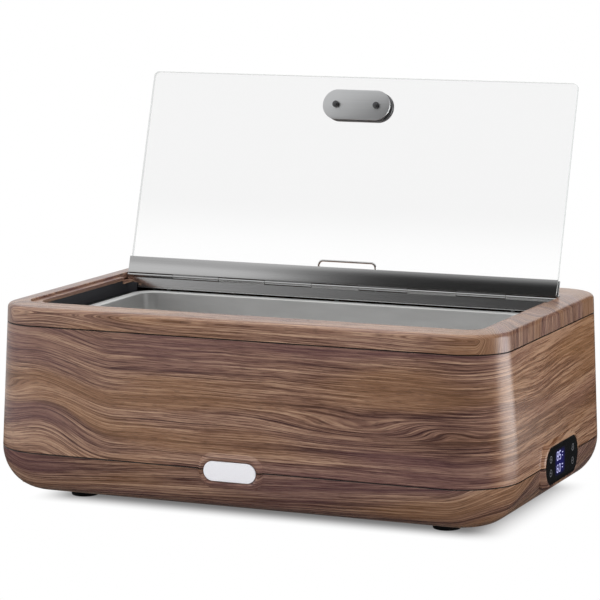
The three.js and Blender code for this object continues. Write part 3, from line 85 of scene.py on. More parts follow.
INLET_FLANGE = (50, 24)
INLET_BODY = (28, 20)
HANDLE_REACH = 230
GRIP = (90, 38)

# Rounded rectangles: half length, front, rear, corner radius
LOWER = (325, -212, 212, 72)
UPPER = (315.7, -200.4, 206, 54)
OPENING = (287, -171, DECK_EDGE, 22)
LEDGE = (278.6, -157, 103, 22)
WELL_MOUTH = (257.5, -141, 93, 34)
WELL_FLANGE = (297, -168, 118, 45)
PAN_FLANGE = (263.5, -147, 99, 30)
PANE = (284.5, 5.4, 266, 7)

# Places of what comes in fours
SIDES = (-1, 1)
QUARTERS = [(side, end) for side in SIDES for end in SIDES]
TIES = [(side * 283.5, end * 170.5) for side, end in QUARTERS]
FEET = [(-232, -125), (232, -125), (-232, 125), (232, 125)]
STUDS = [(side * 190, end * 58 - 24) for side, end in QUARTERS]

# How fine the meshes are, and what is left of a radius that would vanish
CORNER_STEPS = 18
FLOOR_STEPS = 6
BARREL_STEPS = 20
SMALLEST_RADIUS = 0.3
SLIVER = 0.01
MERGE = 0.001


def at(x, y, z):
    return Matrix.Translation((x, y, z))


QUARTER_TURN = math.pi / 2
LID = at(0, HINGE_Y, HINGE_Z) @ Matrix.Rotation(-LEAN, 4, "X")
TO_FRONT = Matrix.Rotation(QUARTER_TURN, 4, "X")
TO_RIGHT = Matrix.Rotation(QUARTER_TURN, 4, "Z") @ TO_FRONT
TO_BACK = Matrix.Rotation(math.pi, 4, "Z") @ TO_FRONT

# The camera, where the photograph was taken from: angles in degrees, lengths in metres
CAMERA_AZIMUTH = 23.04
CAMERA_ELEVATION = 8.4
CAMERA_DISTANCE = 3.4219
CAMERA_AIM = (-0.00371, 0, 0.2328)
CAMERA_REACH = 50
LENS_LENGTH = 170.6
SENSOR_WIDTH = 36


def stand(made, azimuth, elevation, distance, aim):
    """Puts a camera or a lamp on its place round the object, turned to what it aims at."""
    azimuth, elevation = math.radians(azimuth), math.radians(elevation)
    level = math.cos(elevation)
    back = Vector((math.sin(azimuth) * level, -math.cos(azimuth) * level, math.sin(elevation)))
    made.location = Vector(aim) + back * distance
    made.rotation_euler = (-back).to_track_quat("-Z", "Y").to_euler()
    scene.collection.objects.link(made)


def place_camera():
    lens = bpy.data.cameras.new("camera")
    lens.lens = LENS_LENGTH
    lens.sensor_width = SENSOR_WIDTH
    lens.clip_end = CAMERA_REACH
    camera = bpy.data.objects.new("camera", lens)
    stand(camera, CAMERA_AZIMUTH, CAMERA_ELEVATION, CAMERA_DISTANCE, CAMERA_AIM)
    scene.camera = camera


place_camera()
scene.view_settings.view_transform = "Standard"


# Making of sheet, bars and plates
def only(kind, made):
    return [item for item in made if isinstance(item, kind)]


def bevel(bm, geometry, width, steps=2, affect="EDGES", clamp=False):
    bmesh.ops.bevel(bm, geom=geometry, offset=width, offset_type="OFFSET", segments=steps, profile=0.5,
                    affect=affect, clamp_overlap=clamp, material=-1)


def open_edges(made):
    return [edge for edge in only(bmesh.types.BMEdge, made) if edge.is_boundary]


def grown(bm, edges):
    """Draws new faces out of open edges, and gives their far edges and points."""
    made = bmesh.ops.extrude_edge_only(bm, edges=edges)["geom"]
    return open_edges(made), only(bmesh.types.BMVert, made)


def as_mesh(bm, name):
    mesh = bpy.data.meshes.new(name)
    bm.to_mesh(mesh)
    bm.free()
    return mesh


def as_object(mesh, name):
    made = bpy.data.objects.new(name, mesh)
    scene.collection.objects.link(made)
    return made


def arc(steps):
    """The angles of a quarter circle."""
    return [step / steps * QUARTER_TURN for step in range(steps + 1)]


def inset(outline, amount):
    half, front, rear, radius = outline
    return (half - amount, front + amount, rear - amount, max(radius - amount, SMALLEST_RADIUS))


def centred(width, height, radius=None):
    """A rounded rectangle about the middle; with no radius its ends are half circles."""
    if radius is None:
        radius = height / 2 - SLIVER
    return (width / 2, -height / 2, height / 2, radius)


def corner_centre(outline, side, end, z):
    half, front, rear, radius = outline
    return Vector((side * (half - radius), rear - radius if end > 0 else front + radius, z))


class Wall:
    """Sheet drawn from one rounded rectangle to the next."""

    def __init__(self, outline, z, steps=CORNER_STEPS):
        half, front, rear, radius = outline
        self.bm = bmesh.new()
        places = ((half, front), (half, rear), (-half, rear), (-half, front))
        corners = [self.bm.verts.new((x, y, z)) for x, y in places]
        self.bm.faces.new(corners)
        bevel(self.bm, corners, radius, steps, "VERTICES")
        self.start = list(self.bm.faces)
        self.edges = list(self.bm.edges)
        self.outline, self.z = outline, z

    def to(self, outline, z):
        self.edges, verts = grown(self.bm, self.edges)
        _, front, rear, radius = self.outline
        middle, growth = (front + rear) / 2, outline[3] / radius
        for side, end in QUARTERS:
            corner = [vert for vert in verts if vert.co.x * side > 0 and (vert.co.y - middle) * end > 0]
            here = corner_centre(self.outline, side, end, self.z)
            there = corner_centre(outline, side, end, z)
            bmesh.ops.scale(self.bm, vec=(growth, growth, 1), space=Matrix.Translation(-here), verts=corner)
            bmesh.ops.translate(self.bm, vec=there - here, verts=corner)
        self.outline, self.z = outline, z

    def cap(self):
        bmesh.ops.holes_fill(self.bm, edges=self.edges, sides=0)
        return self.bm

    def close(self):
        """Ends where it began, with no cap."""
        bmesh.ops.delete(self.bm, geom=self.start, context="FACES_ONLY")
        bmesh.ops.remove_doubles(self.bm, verts=self.bm.verts, dist=MERGE)
        return self.bm


def drawn(levels, steps=CORNER_STEPS):
    """A solid piece through the given outlines, each with its height."""
    wall = Wall(*levels[0], steps=steps)
    for level in levels[1:]:
        wall.to(*level)
    return wall.cap()


def drawn_round(levels):
    """An endless strip whose section is given by outlines and heights."""
    wall = Wall(*levels[0])
    for level in levels[1:] + levels[:1]:
        wall.to(*level)
    return wall.close()


def rounded(outline, amount, floor, radius, height=None, steps=FLOOR_STEPS):
    """A quarter round between a flat and a wall, from its end on the flat, outwards and along the wall."""
    height = height or radius
    return [(inset(outline, amount + radius * (1 - math.sin(a))), floor + height * (1 - math.cos(a)))
            for a in arc(steps)]


def rod(bm, start, end, radius, sides=24):
    start, end = Vector(start), Vector(end)
    turn = (end - start).to_track_quat("Z", "Y").to_matrix().to_4x4()
    bmesh.ops.create_cone(bm, cap_ends=True, segments=sides, radius1=radius, radius2=radius,
                          depth=(end - start).length, matrix=Matrix.Translation((start + end) / 2) @ turn)


def upright(bm, place, low, high, radius, sides=24):
    rod(bm, (*place, low), (*place, high), radius, sides)


def block(bm, low, high, edge=0):
    low, high = Vector(low), Vector(high)
    place = Matrix.Translation((low + high) / 2) @ Matrix.Diagonal((*(high - low), 1))
    made = bmesh.ops.create_cube(bm, size=1, matrix=place)
    if edge:
        bevel(bm, list({link for vert in made["verts"] for link in vert.link_edges}), edge)


def turned(profile, closed=True, steps=40):
    """Turns a profile of radius and height about an upright line, as on a lathe."""
    bm = bmesh.new()
    verts = [bm.verts.new((radius, 0, z)) for radius, z in profile]
    edges = [bm.edges.new(pair) for pair in zip(verts, verts[1:] + (verts[:1] if closed else []))]
    bmesh.ops.spin(bm, geom=verts + edges, cent=(0, 0, 0), axis=(0, 0, 1),
                   angle=2 * math.pi, steps=steps, use_merge=True)
    bmesh.ops.remove_doubles(bm, verts=bm.verts, dist=MERGE / 2)
    return bm


def barrel(width, height, bulge):
    """A flat plate with straight long sides and bulging ends."""
    bm = bmesh.new()
    radius = (bulge * bulge + height * height / 4) / (2 * bulge)
    half_angle = math.asin(height / 2 / radius)
    ends = []
    for side in (1, -1):
        centre = Vector((side * (width / 2 - radius), 0, 0))
        corner = Vector((side * radius * math.cos(half_angle), -side * height / 2, 0))
        start = bm.verts.new(centre + corner)
        made = bmesh.ops.spin(bm, geom=[start], cent=centre, axis=(0, 0, 1), angle=2 * half_angle,
                              steps=BARREL_STEPS)
        ends.append((start, only(bmesh.types.BMVert, made["geom_last"])[0]))
    bm.edges.new((ends[0][1], ends[1][0]))
    bm.edges.new((ends[1][1], ends[0][0]))
    bmesh.ops.contextual_create(bm, geom=list(bm.edges))
    return bm


def raised(bm, size, levels):
    """Draws a flat plate up through further sizes, each a width, a height and a level."""
    edges = list(bm.edges)
    bmesh.ops.translate(bm, vec=(0, 0, size[2]), verts=bm.verts)
    for level in levels:
        edges, verts = grown(bm, edges)
        bmesh.ops.scale(bm, vec=(level[0] / size[0], level[1] / size[1], 1), verts=verts)
        bmesh.ops.translate(bm, vec=(0, 0, level[2] - size[2]), verts=verts)
        size = level
    bmesh.ops.holes_fill(bm, edges=edges, sides=0)
    return bm


def extruded(points, vector):
    """A face from a few corners, drawn out straight."""
    bm = bmesh.new()
    face = bm.faces.new([bm.verts.new(point) for point in points])
    made = bmesh.ops.extrude_face_region(bm, geom=[face], use_keep_orig=True)["geom"]
    bmesh.ops.translate(bm, vec=vector, verts=only(bmesh.types.BMVert, made))
    return bm


def placed(bm, *moves):
    for move in moves:
        bmesh.ops.transform(bm, matrix=move, verts=bm.verts)
    return bm


def joined(bm, *others):
    for other in others:
        mesh = as_mesh(other, "part")
        bm.from_mesh(mesh)
        bpy.data.meshes.remove(mesh)
    return bm


def softened(bm, width, angle=math.radians(30)):
    """Bevels the edges that are sharper than an angle."""
    bmesh.ops.recalc_face_normals(bm, faces=bm.faces)
    sharp = [edge for edge in bm.edges if len(edge.link_faces) == 2 and edge.calc_face_angle() > angle]
    bevel(bm, sharp, width, clamp=True)
    return bm


def combined(bm, tool, operation="DIFFERENCE"):
    """Cuts a tool out of a piece, or welds it on."""
    objects = []
    for source in (bm, tool):
        bmesh.ops.recalc_face_normals(source, faces=source.faces)
        objects.append(as_object(as_mesh(source, "cut"), "cut"))
    whole, cutter = objects
    change = whole.modifiers.new("cut", "BOOLEAN")
    change.operation = operation
    change.object = cutter
    change.solver = "EXACT"
    result = bmesh.new()
    result.from_mesh(whole.evaluated_get(bpy.context.evaluated_depsgraph_get()).to_mesh())
    for made in objects:
        mesh = made.data
        bpy.data.objects.remove(made)
        bpy.data.meshes.remove(mesh)
    return result


def kept(bm, point, outwards):
    """Keeps the side of a mesh that a plane doesn't face, and closes the cut."""
    geometry = list(bm.verts) + list(bm.edges) + list(bm.faces)
    cut = bmesh.ops.bisect_plane(bm, geom=geometry, plane_co=point, plane_no=outwards, clear_outer=True)
    bmesh.ops.holes_fill(bm, edges=only(bmesh.types.BMEdge, cut["geom_cut"]), sides=0)
    return bm


def piece(name, bm, material, body, replaces, smooth=35):
    """Makes the finished object, and gives it its body, its material and its place in the model."""
    bmesh.ops.recalc_face_normals(bm, faces=bm.faces)
    bmesh.ops.scale(bm, vec=[METRES_PER_MM] * 3, verts=bm.verts)
    mesh = as_mesh(bm, name)
    mesh.shade_smooth()
    mesh.set_sharp_from_angle(angle=math.radians(smooth))
    mesh.materials.append(material)
    made = as_object(mesh, name)
    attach(made, body)
    if replaces:
        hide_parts(*replaces)
    return made


# Colours and materials
def shade(red, green, blue):
    """A colour as it looks on a screen, 0 to 255."""
    shares = [value / 255 for value in (red, green, blue)]
    return tuple(s / 12.92 if s < 0.04 else ((s + 0.055) / 1.055) ** 2.4 for s in shares) + (1.0,)


def dimmed(colour, share):
    return tuple(channel * share for channel in colour[:3]) + (1.0,)


class Value:
    """A number that varies over a surface, with the usual sums."""

    def __init__(self, paint, socket):
        self.paint = paint
        self.socket = socket

    def math(self, operation, *others):
        inputs = dict(enumerate((self, *others)))
        return self.paint.node("Math", {"operation": operation}, inputs)

    def __add__(self, other):
        return self.math("ADD", other)

    def __mul__(self, other):
        return self.math("MULTIPLY", other)

    __radd__ = __add__
    __rmul__ = __mul__

    def __sub__(self, other):
        return self.math("SUBTRACT", other)

    def __rsub__(self, other):
        return self.paint.node("Math", {"operation": "SUBTRACT"}, {0: other, 1: self})

    def __truediv__(self, other):
        return self.math("DIVIDE", other)

    def __abs__(self):
        return self.math("ABSOLUTE")

    def between(self, low, high):
        """Rises smoothly from 0 at low to 1 at high."""
        return self.paint.node("MapRange", {"interpolation_type": "SMOOTHSTEP"},
                               {"Value": self, "From Min": low, "From Max": high}, "Result")

    def hump(self, centre, width):
        """A bell of height 1."""
        away = (self - centre) / width
        return (away * away * -1).math("EXPONENT")


class Paint:
    """The nodes of one material, or of the studio's surroundings."""

    def __init__(self, tree):
        self.tree = tree

    def node(self, kind, settings=None, inputs=None, output=0):
        made = self.tree.nodes.new("ShaderNode" + kind)
        for key, value in (settings or {}).items():
            if key == "stops":
                points = made.color_ramp.elements
                while len(points) < len(value):
                    points.new(0.5)
                for point, (position, colour) in zip(points, value):
                    point.position, point.color = position, colour
            else:
                setattr(made, key, value)
        for key, value in (inputs or {}).items():
            self.feed(made.inputs[key], value)
        return Value(self, made.outputs[output])

    def feed(self, socket, item):
        if isinstance(item, Value):
            self.tree.links.new(item.socket, socket)
        else:
            socket.default_value = item

    def split(self, vector):
        parts = self.node("SeparateXYZ", None, {0: vector}).socket.node
        return [Value(self, output) for output in parts.outputs]

    def noise(self, x, y, z, detail=2.0, rough=0.5):
        where = self.node("CombineXYZ", None, {"X": x, "Y": y, "Z": z})
        inputs = {"Vector": where, "Scale": 1.0, "Detail": detail, "Roughness": rough}
        return self.node("TexNoise", None, inputs)

    def ramp(self, value, *stops):
        return self.node("ValToRGB", {"stops": stops}, {0: value})

    def mix(self, share, first, second):
        inputs = {0: share, 6: first, 7: second}
        return self.node("Mix", {"data_type": "RGBA"}, inputs, 2)

    def blend(self, share, first, second):
        return self.node("MixShader", None, {0: share, 1: first, 2: second})


class Surface(Paint):
    """A material built on one plain shader."""

    def __init__(self, name, **constants):
        self.material = bpy.data.materials.new(name)
        self.material.use_nodes = True
        super().__init__(self.material.node_tree)
        self.shader = self.tree.nodes["Principled BSDF"]
        self.set(**constants)

    def set(self, **inputs):
        for key, value in inputs.items():
            self.feed(self.shader.inputs[key.replace("_", " ")], value)

    def place(self):
        """Where a point lies on the object, in millimetres."""
        where = self.node("TexCoord", None, None, "Object")
        return [axis * MM_PER_METRE for axis in self.split(where)]

    def relief(self, height, strength, distance=0.0004):
        inputs = {"Strength": strength, "Distance": distance, "Height": height}
        self.set(Normal=self.node("Bump", None, inputs))


# Grain: how wide each kind of line is and how long it runs, in millimetres
WANDER, WANDER_REACH = (70, 300), 14
RIPPLE, RIPPLE_REACH = (22, 60), 2.4
BANDS, BAND_SHARE = (13, 700), 0.23
LINES, LINE_SHARE = (1.9, 230), 0.42
FIBRES, FIBRE_SHARE = (1.05, 42), 0.35
PORES, PORE_SHARE = (0.9, 13), 0.32
PATCHES = (45, 320)
RING, RING_SHARE, RING_WAVE = 6.4, 0.06, 4
MIDDLE_TONE = 0.522
WALNUT_TONES = ((0.39, shade(64, 39, 37)), (0.45, shade(94, 65, 56)), (0.5, shade(124, 91, 77)),
                (0.55, shade(150, 116, 96)), (0.62, shade(182, 148, 124)))
VIOLET_PATCH, VIOLET_SHARE = shade(106, 73, 75), 0.5
AMBER_PATCH, AMBER_SHARE = shade(153, 112, 74), 0.42
AMBER_END = shade(165, 110, 50)
PORE = shade(52, 33, 29)
# The painted shadow along a seam fades over these distances, in millimetres
SEAM_FADE, SEAM_SHARE, SEAM_SHADOW = (1.0, 0.6), 0.9, shade(20, 13, 11)
FILM_ROUGH, FIBRE_ROUGH, FILM_RELIEF = 0.22, 0.12, 0.12


def walnut(paint, across, along, depth, darker=0.0, bold=1.0):
    """Lines of growth in three widths, fine fibres, and short dark pores."""

    def swing(width, length, detail):
        return paint.noise(along / length, depth / length, across / width, detail=detail) - 0.5

    def grain(width, length, detail=2.0, rough=0.5):
        return paint.noise(line / width, along / length, depth / length, detail=detail, rough=rough)

    line = across + swing(*WANDER, 2.0) * WANDER_REACH + swing(*RIPPLE, 1.0) * RIPPLE_REACH
    bands = grain(*BANDS)
    lines = grain(*LINES, rough=0.65)
    fibres = grain(*FIBRES, rough=0.6)
    pores = grain(*PORES, detail=1.0).between(0.56, 0.66)
    rings = (line / RING + bands * RING_WAVE).math("FRACT").between(0.45, 1.0)
    tone = bands * BAND_SHARE + lines * LINE_SHARE + fibres * FIBRE_SHARE - 0.5
    colour = paint.ramp(tone * bold - rings * RING_SHARE - darker + MIDDLE_TONE, *WALNUT_TONES)
    patch = grain(*PATCHES, detail=1.0)
    colour = paint.mix(patch.between(0.5, 0.66) * VIOLET_SHARE, colour, VIOLET_PATCH)
    colour = paint.mix(patch.between(0.5, 0.34) * AMBER_SHARE, colour, AMBER_PATCH)
    return paint.mix(pores * PORE_SHARE, colour, PORE), fibres, lines


# Where the film turns from the front to an end, along x, and where the end is bolder and more amber
TURN = (262, 318)
END, END_BOLDER, END_AMBER = (300, 320), 1.1, 0.26
# Swirls on the front: middle and width along it, middle and width up it, and the shift of the lines
SWIRLS = ((-238, 48, 106, 42, -13), (-335, 88, 137, 13, 18),
          (150, 90, 121, 15, 15), (262, 40, 128, 9, -8))


def round_band(paint, x, y, z, side):
    """Round the band: long lines with swirls on the front, and bolder ones that climb on the ends."""
    step, step_rise = (-262, -150), 24
    climb_start, climb = 185, -0.03
    flame_y, flame_z, flame_shift = (-70, 60), (160, 18), 7
    streak_x, streak_z, streak_share = (60, 170), (117, 11), 0.03
    # Darker towards the right of the front: partly the film's own tone, partly painted shade
    right_x, right_share, slope = (190, 262), 0.03, 24000
    across = z + x.between(*step) * step_rise
    for middle, width, level, height, shift in SWIRLS:
        across = across + x.hump(middle, width) * z.hump(level, height) * shift
    rising = (y + climb_start) * side * climb
    flame = side * y.hump(*flame_y) * z.hump(*flame_z) * flame_shift
    streak = x.between(*streak_x) * z.hump(*streak_z) * streak_share
    darker = streak + (x.between(*right_x) * right_share + x / slope) * (1 - side)
    end = abs(x).between(*END)
    colour, fibres, lines = walnut(paint, across + rising + flame, x, y, darker, end * END_BOLDER + 1)
    return paint.mix(end * END_AMBER, colour, AMBER_END), fibres, lines


def over_rim(paint, x, y, z, side):
    """Over the rim: lengthwise on the front and the rear rail, and across on the two others."""
    top, end = z.between(228, 237), abs(x).between(288, 317)
    before = (1 - end) * (1 - top)
    front, middle, lean = 200, 225, 0.25
    bend_x, bend = (-240, 90), 16
    top_share, side_share, base_share = 0.02, 0.045, 0.02
    # Darker towards the right of the front face: partly the film's own tone, partly painted shade
    right_x, right_share = (200, 270), 0.035
    along_top = (abs(y) - front) * top.math("MAXIMUM", end)
    across = along_top + y * end * lean + (z - middle) * before + middle
    darker = top * (side * side_share - top_share) + x.between(*right_x) * before * right_share - base_share
    return walnut(paint, across - x.hump(*bend_x) * bend, x, z, darker)


def under_base(paint, x, y, z, side):
    """Round the base and under it, along the curve of its skirt."""
    half, _, rear, _ = inset(LOWER, BASE_INSET)
    beside, before = (abs(x) - half).math("MAXIMUM", 0.0), (abs(y) - rear).math("MAXIMUM", 0.0)
    curve = (beside * beside + before * before).math("SQRT")
    under = (abs(y) - rear) * z.between(16, 12.2)
    spread, fall, climb, darker = 0.8, 0.07, 0.35, 0.02
    across = z + curve * spread - x * fall - (y + LOWER[2]) * side * climb + under
    return walnut(paint, across, x, y, darker)


def wood(name, flow, *seams):
    """Walnut film with its own flow of the grain, with painted shade along the seams of the housing."""
    paint = Surface(name, Specular_IOR_Level=0.6)
    x, y, z = paint.place()
    colour, fibres, lines = flow(paint, x, y, z, abs(x).between(*TURN))
    shadow = None
    for level in seams:
        near = abs(z - SEAM / 2 - level).between(*SEAM_FADE)
        shadow = shadow.math("MAXIMUM", near) if shadow else near
    # Painted shadow in the seams between the parts
    colour = paint.mix(shadow * SEAM_SHARE, colour, SEAM_SHADOW)
    paint.set(Base_Color=colour, Roughness=fibres * FIBRE_ROUGH + FILM_ROUGH)
    paint.relief(fibres * 0.5 + lines * 0.5, FILM_RELIEF)
    return paint.material


# Steel, sizes in millimetres: its lines, its clouds, and how much both show in tone and roughness
STEEL_LINE = (90, 0.5)
STEEL_CLOUD = (60, 9)
STEEL_DARKEST, STEEL_STREAK = 0.93, 0.08


def brushed(name, colour, rough, lengthwise=True):
    """Steel with fine lines along its length, or with an even satin."""
    paint = Surface(name, Metallic=1.0)
    x, y, z = paint.place()
    if lengthwise:
        length, width = STEEL_LINE
        lines = paint.noise(x / length, y / width, z / width)
    else:
        length, height = STEEL_CLOUD
        lines = paint.noise(x / length, y / length, z / height, detail=3.0)
    paint.set(Base_Color=paint.ramp(lines, (0.3, dimmed(colour, STEEL_DARKEST)), (0.7, colour)),
              Roughness=lines * STEEL_STREAK + rough)
    return paint.material


def moulded(name, colour, rough, speck=0.1, size=1.2, **constants):
    """Plastic, rubber, enamel or paint with a very fine skin."""
    paint = Surface(name, **constants)
    x, y, z = paint.place()
    grit, depth, height = 0.1, 0.08, 0.0002
    spots = paint.noise(x / size, y / size, z / size)
    paint.set(Base_Color=paint.ramp(spots, (0.35, dimmed(colour, 1 - speck)), (0.65, colour)),
              Roughness=spots * grit + rough)
    paint.relief(spots, depth, height)
    return paint.material


def clear_glass():
    """Toughened glass that shows as a faint grey veil, weaker low down."""
    paint = Surface("clear_glass", Roughness=0.03)
    x, y, z = paint.place()
    size, veil_rises, veil, thinnest = 120, (268, 338), 0.05, 0.004
    waves = paint.noise(x / size, y / size, z / size)
    paint.set(Base_Color=paint.ramp(waves, (0.3, shade(96, 98, 99)), (0.7, shade(104, 106, 106))),
              Alpha=z.between(*veil_rises) * veil + thinnest)
    return paint.material


def display_glass():
    """Black glass with the blue glow of a display behind it."""
    paint = Surface("panel_glass", Roughness=0.08, Specular_IOR_Level=0.15, Emission_Strength=1.0)
    x, y, z = paint.place()
    shift, fade_y, fade_z, size = 8, (21, 9), (17, 9), 3
    lit = abs(y + shift).between(*fade_y) * abs(z - PANEL_Z).between(*fade_z)
    dust = paint.noise(x / size, y / size, z / size)
    paint.set(Base_Color=paint.ramp(dust, (0.3, shade(4, 5, 6)), (0.7, shade(9, 10, 12))),
              Emission_Color=paint.mix(lit, (0.0, 0.0, 0.0, 1.0), shade(20, 18, 84)))
    return paint.material


def glow(name, colour, strength):
    """A lit mark, slightly uneven."""
    paint = Surface(name, Roughness=0.4, Emission_Strength=strength)
    x, y, z = paint.place()
    size, darkest = 2, 0.75
    spots = paint.noise(x / size, y / size, z / size)
    lamp_colour = paint.ramp(spots, (0.3, dimmed(colour, darkest)), (0.7, colour))
    paint.set(Base_Color=lamp_colour, Emission_Color=lamp_colour)
    return paint.material


WOOD_BAND = wood("wood_band", round_band, BAND_TOP, PART_LINE)
WOOD_RIM = wood("wood_rim", over_rim, BAND_TOP)
WOOD_BASE = wood("wood_base", under_base, PART_LINE)
POLISHED = brushed("polished_steel", shade(198, 198, 198), rough=0.16)
SATIN = brushed("satin_steel", shade(237, 237, 236), rough=0.44, lengthwise=False)
LEAF = brushed("leaf_steel", shade(240, 240, 240), rough=0.11)
PLATE = brushed("grip_steel", shade(236, 237, 238), rough=0.45)
# A darker copy of the grip steel for the back of the grip: painted shade, so that it shines less
SHADED_GRIP = brushed("shaded_grip_steel", shade(150, 150, 152), rough=0.36)
BOLT = brushed("bolt_steel", shade(118, 118, 120), rough=0.28, lengthwise=False)
BRIGHT = brushed("bright_steel", shade(228, 228, 227), rough=0.3, lengthwise=False)
HEATED = brushed("heated_steel", shade(92, 84, 78), rough=0.45, lengthwise=False)
LINER = moulded("liner_paint", shade(58, 58, 62), rough=0.42, Metallic=0.4)
ENAMEL = moulded("black_enamel", shade(20, 20, 21), rough=0.35)
RUBBER = moulded("rubber", shade(24, 24, 26), rough=0.72, size=0.8)
BLACK = moulded("black_plastic", shade(18, 18, 19), rough=0.45)
TRIM = moulded("gloss_black", shade(7, 7, 8), rough=0.18, Specular_IOR_Level=0.15)
BOARD = moulded("green_board", shade(34, 92, 56), rough=0.55)
SILVER = moulded("badge_metal", shade(250, 250, 255), rough=0.3, speck=0.03)
GLASS = clear_glass()
GLASS_EDGE = moulded("glass_edge", shade(214, 220, 218), rough=0.12, speck=0.04, Alpha=0.4)
PANEL = display_glass()
LIT = glow("lit_figures", shade(176, 176, 222), strength=0.75)
MARKS = glow("panel_marks", shade(108, 108, 112), strength=0.3)


# Housing; both pods start this far behind the face of the wall
POD_ROOT = -6


def badge_pod():
    """A soft oval pad round the front plate, with a recess for it."""
    foot, face, mouth, recess = (86, 41.2), (69.4, 27), (67.6, 25.2), (67.2, 24.8)
    swell = ((0, 0), (0.08, 0.3), (0.22, 1.4), (0.4, 3.2), (0.58, 4.7), (0.74, 5.4), (0.88, 5.3), (1, 4.7))
    levels = [(centred(*foot), POD_ROOT)]
    for share, height in swell:
        levels.append((centred(*(a + (b - a) * share for a, b in zip(foot, face))), height))
    levels += [(centred(*mouth), 4.5), (centred(*recess), 4.0), (centred(*recess), 3.0)]
    sunk = 4.4
    spot = at(0, BADGE_Y + sunk, BADGE_Z)
    return placed(drawn(levels, steps=20), TO_FRONT, spot)


def panel_pod():
    """A raised pad with bulging ends round the control panel."""
    width, height, bulge, proud = 138.4, 55.4, 20.2, 5.1
    swell = ((0, 0), (0.06, 0.2), (0.2, 0.9), (0.45, 2.6), (0.7, 4.2), (0.88, 4.9), (1, proud))
    narrower, lower = 14, 7
    levels = [(width - narrower * share, height - lower * share, up) for share, up in swell]
    levels += [(121.0, 45.0, proud), (120.6, 44.6, 4.8), (120.6, 44.6, 1.8)]
    bm = raised(barrel(width, height, bulge), (width, height, POD_ROOT), levels)
    return placed(bm, TO_RIGHT, at(PANEL_X - proud, 0, PANEL_Z))


def base_shell():
    """The bowl of the base, with the lap that its upper edge makes with the band."""
    floor = FOOT_HEIGHT + WALL
    outside = rounded(LOWER, 0, FOOT_HEIGHT, BASE_INSET, PART_LINE - FOOT_HEIGHT, steps=18)
    inside = rounded(LOWER, WALL, floor, BASE_INSET, PART_LINE - floor, steps=8)
    lap = ((0.02, -0.5), (0.45, 0), (2.15, 0), (2.45, 4), (WALL, 4))
    edge = [(inset(LOWER, amount), PART_LINE + up) for amount, up in lap]
    return drawn([*outside[:-1], *edge, *inside[::-1]])


def make_base():
    post, post_low = 8, FOOT_HEIGHT + 8.5
    boss, boss_low, boss_top = 7, FOOT_HEIGHT + 1, 26
    slot_length, slot_width, slot_pitch, slots_x = 46, 4, 11, 110
    below, above, head, head_top, screw, screw_top = 5, 17, 5.3, 38, 2.4, 23
    posts, holes = bmesh.new(), bmesh.new()
    for place in TIES:
        upright(posts, place, post_low, PART_LINE - FIT, post)
    for place in FEET:
        upright(posts, place, boss_low, boss_top, boss)
    bm = combined(base_shell(), posts, "UNION")
    for side in SIDES:
        for index in range(-2, 3):
            outline = centred(slot_length, slot_width)
            spot = at(side * slots_x + index * slot_pitch, 0, 0)
            turn = Matrix.Rotation(QUARTER_TURN, 4, "Z")
            joined(holes, placed(drawn([(outline, below), (outline, above)], steps=6), spot @ turn))
    for place in TIES:
        upright(holes, place, below, head_top, head)
    for place in FEET:
        upright(holes, place, below, screw_top, screw)
    bm = combined(bm, holes)
    joined(bm, *(kept(pod, (0, 0, PART_LINE), (0, 0, 1)) for pod in (badge_pod(), panel_pod())))
    piece("base_tray", bm, WOOD_BASE, "housing", ["base_shell"])


def make_band():
    low = PART_LINE + SEAM
    lap, lap_top, beyond = inset(LOWER, 1.85), low + 3.7, 230
    section = [(inset(LOWER, EASE), low), (LOWER, low + EASE), (UPPER, BAND_TOP - EASE),
               (inset(UPPER, EASE), BAND_TOP), (inset(UPPER, WALL), BAND_TOP), (inset(LOWER, WALL), lap_top),
               (lap, lap_top), (lap, low)]
    holes = bmesh.new()
    for (width, height), inner in ((INLET_FLANGE, 209.2), (INLET_BODY, 190)):
        half_x, half_z = width / 2 + FIT, height / 2 + FIT
        block(holes, (INLET_X - half_x, inner, INLET_Z - half_z),
              (INLET_X + half_x, beyond, INLET_Z + half_z))
    bm = combined(drawn_round(section), holes)
    joined(bm, *(kept(pod, (0, 0, low), (0, 0, -1)) for pod in (badge_pod(), panel_pod())))
    piece("band", bm, WOOD_BAND, "housing", ["body_band"])


def make_rim():
    """The rails and the deck, with a pocket for the hinge and two lugs under its ends."""
    bottom, step, lip, lap = BAND_TOP + SEAM, 0.7, 1.2, 4
    edge = rounded(UPPER, step, RIM_CREASE, RIM_ROUND, -RIM_ROUND, steps=8)[::-1]
    mouth = rounded(OPENING, 0, RIM_TOP, -lip, steps=4)
    inner, tongue = inset(UPPER, WALL + FIT), inset(UPPER, WALL + FIT + 2)
    section = [(inset(UPPER, EASE), bottom), (UPPER, bottom + EASE), *edge, *mouth, (OPENING, LEDGE_Z),
               (inset(LEDGE, -EASE), LEDGE_Z), (LEDGE, LEDGE_Z - EASE), (LEDGE, RIM_UNDER),
               (tongue, RIM_UNDER), (tongue, BAND_TOP - lap), (inner, BAND_TOP - lap), (inner, bottom)]
    holes = bmesh.new()
    pocket, pocket_front, above, wire_hole, hole_low, hole_high = 287.4, 78, 260, 1.8, 220, 250
    block(holes, (-pocket, pocket_front, POCKET_FLOOR), (pocket, DECK_EDGE, above))
    for side in SIDES:
        upright(holes, (side * WIRE_HALF, WIRE_Y), hole_low, hole_high, wire_hole, sides=16)
    bm = combined(drawn_round(section), holes)
    rail, rail_front, rail_rear, rail_bottom = OPENING[0], 103, 117, 221.5
    block(bm, (-rail, rail_front, rail_bottom), (rail, rail_rear, POCKET_FLOOR))
    lug_inner, lug_outer, lug_rear, post, post_low = 277.6, 291, 101.3, 6.5, 208
    for side in SIDES:
        start, end = sorted((side * lug_inner, side * lug_outer))
        block(bm, (start, LUG_FRONT, LUG_BOTTOM), (end, lug_rear, POCKET_FLOOR))
    for place in TIES:
        upright(bm, place, post_low, RIM_UNDER + 1, post)
    piece("rim", bm, WOOD_RIM, "housing", ["top_rim"])


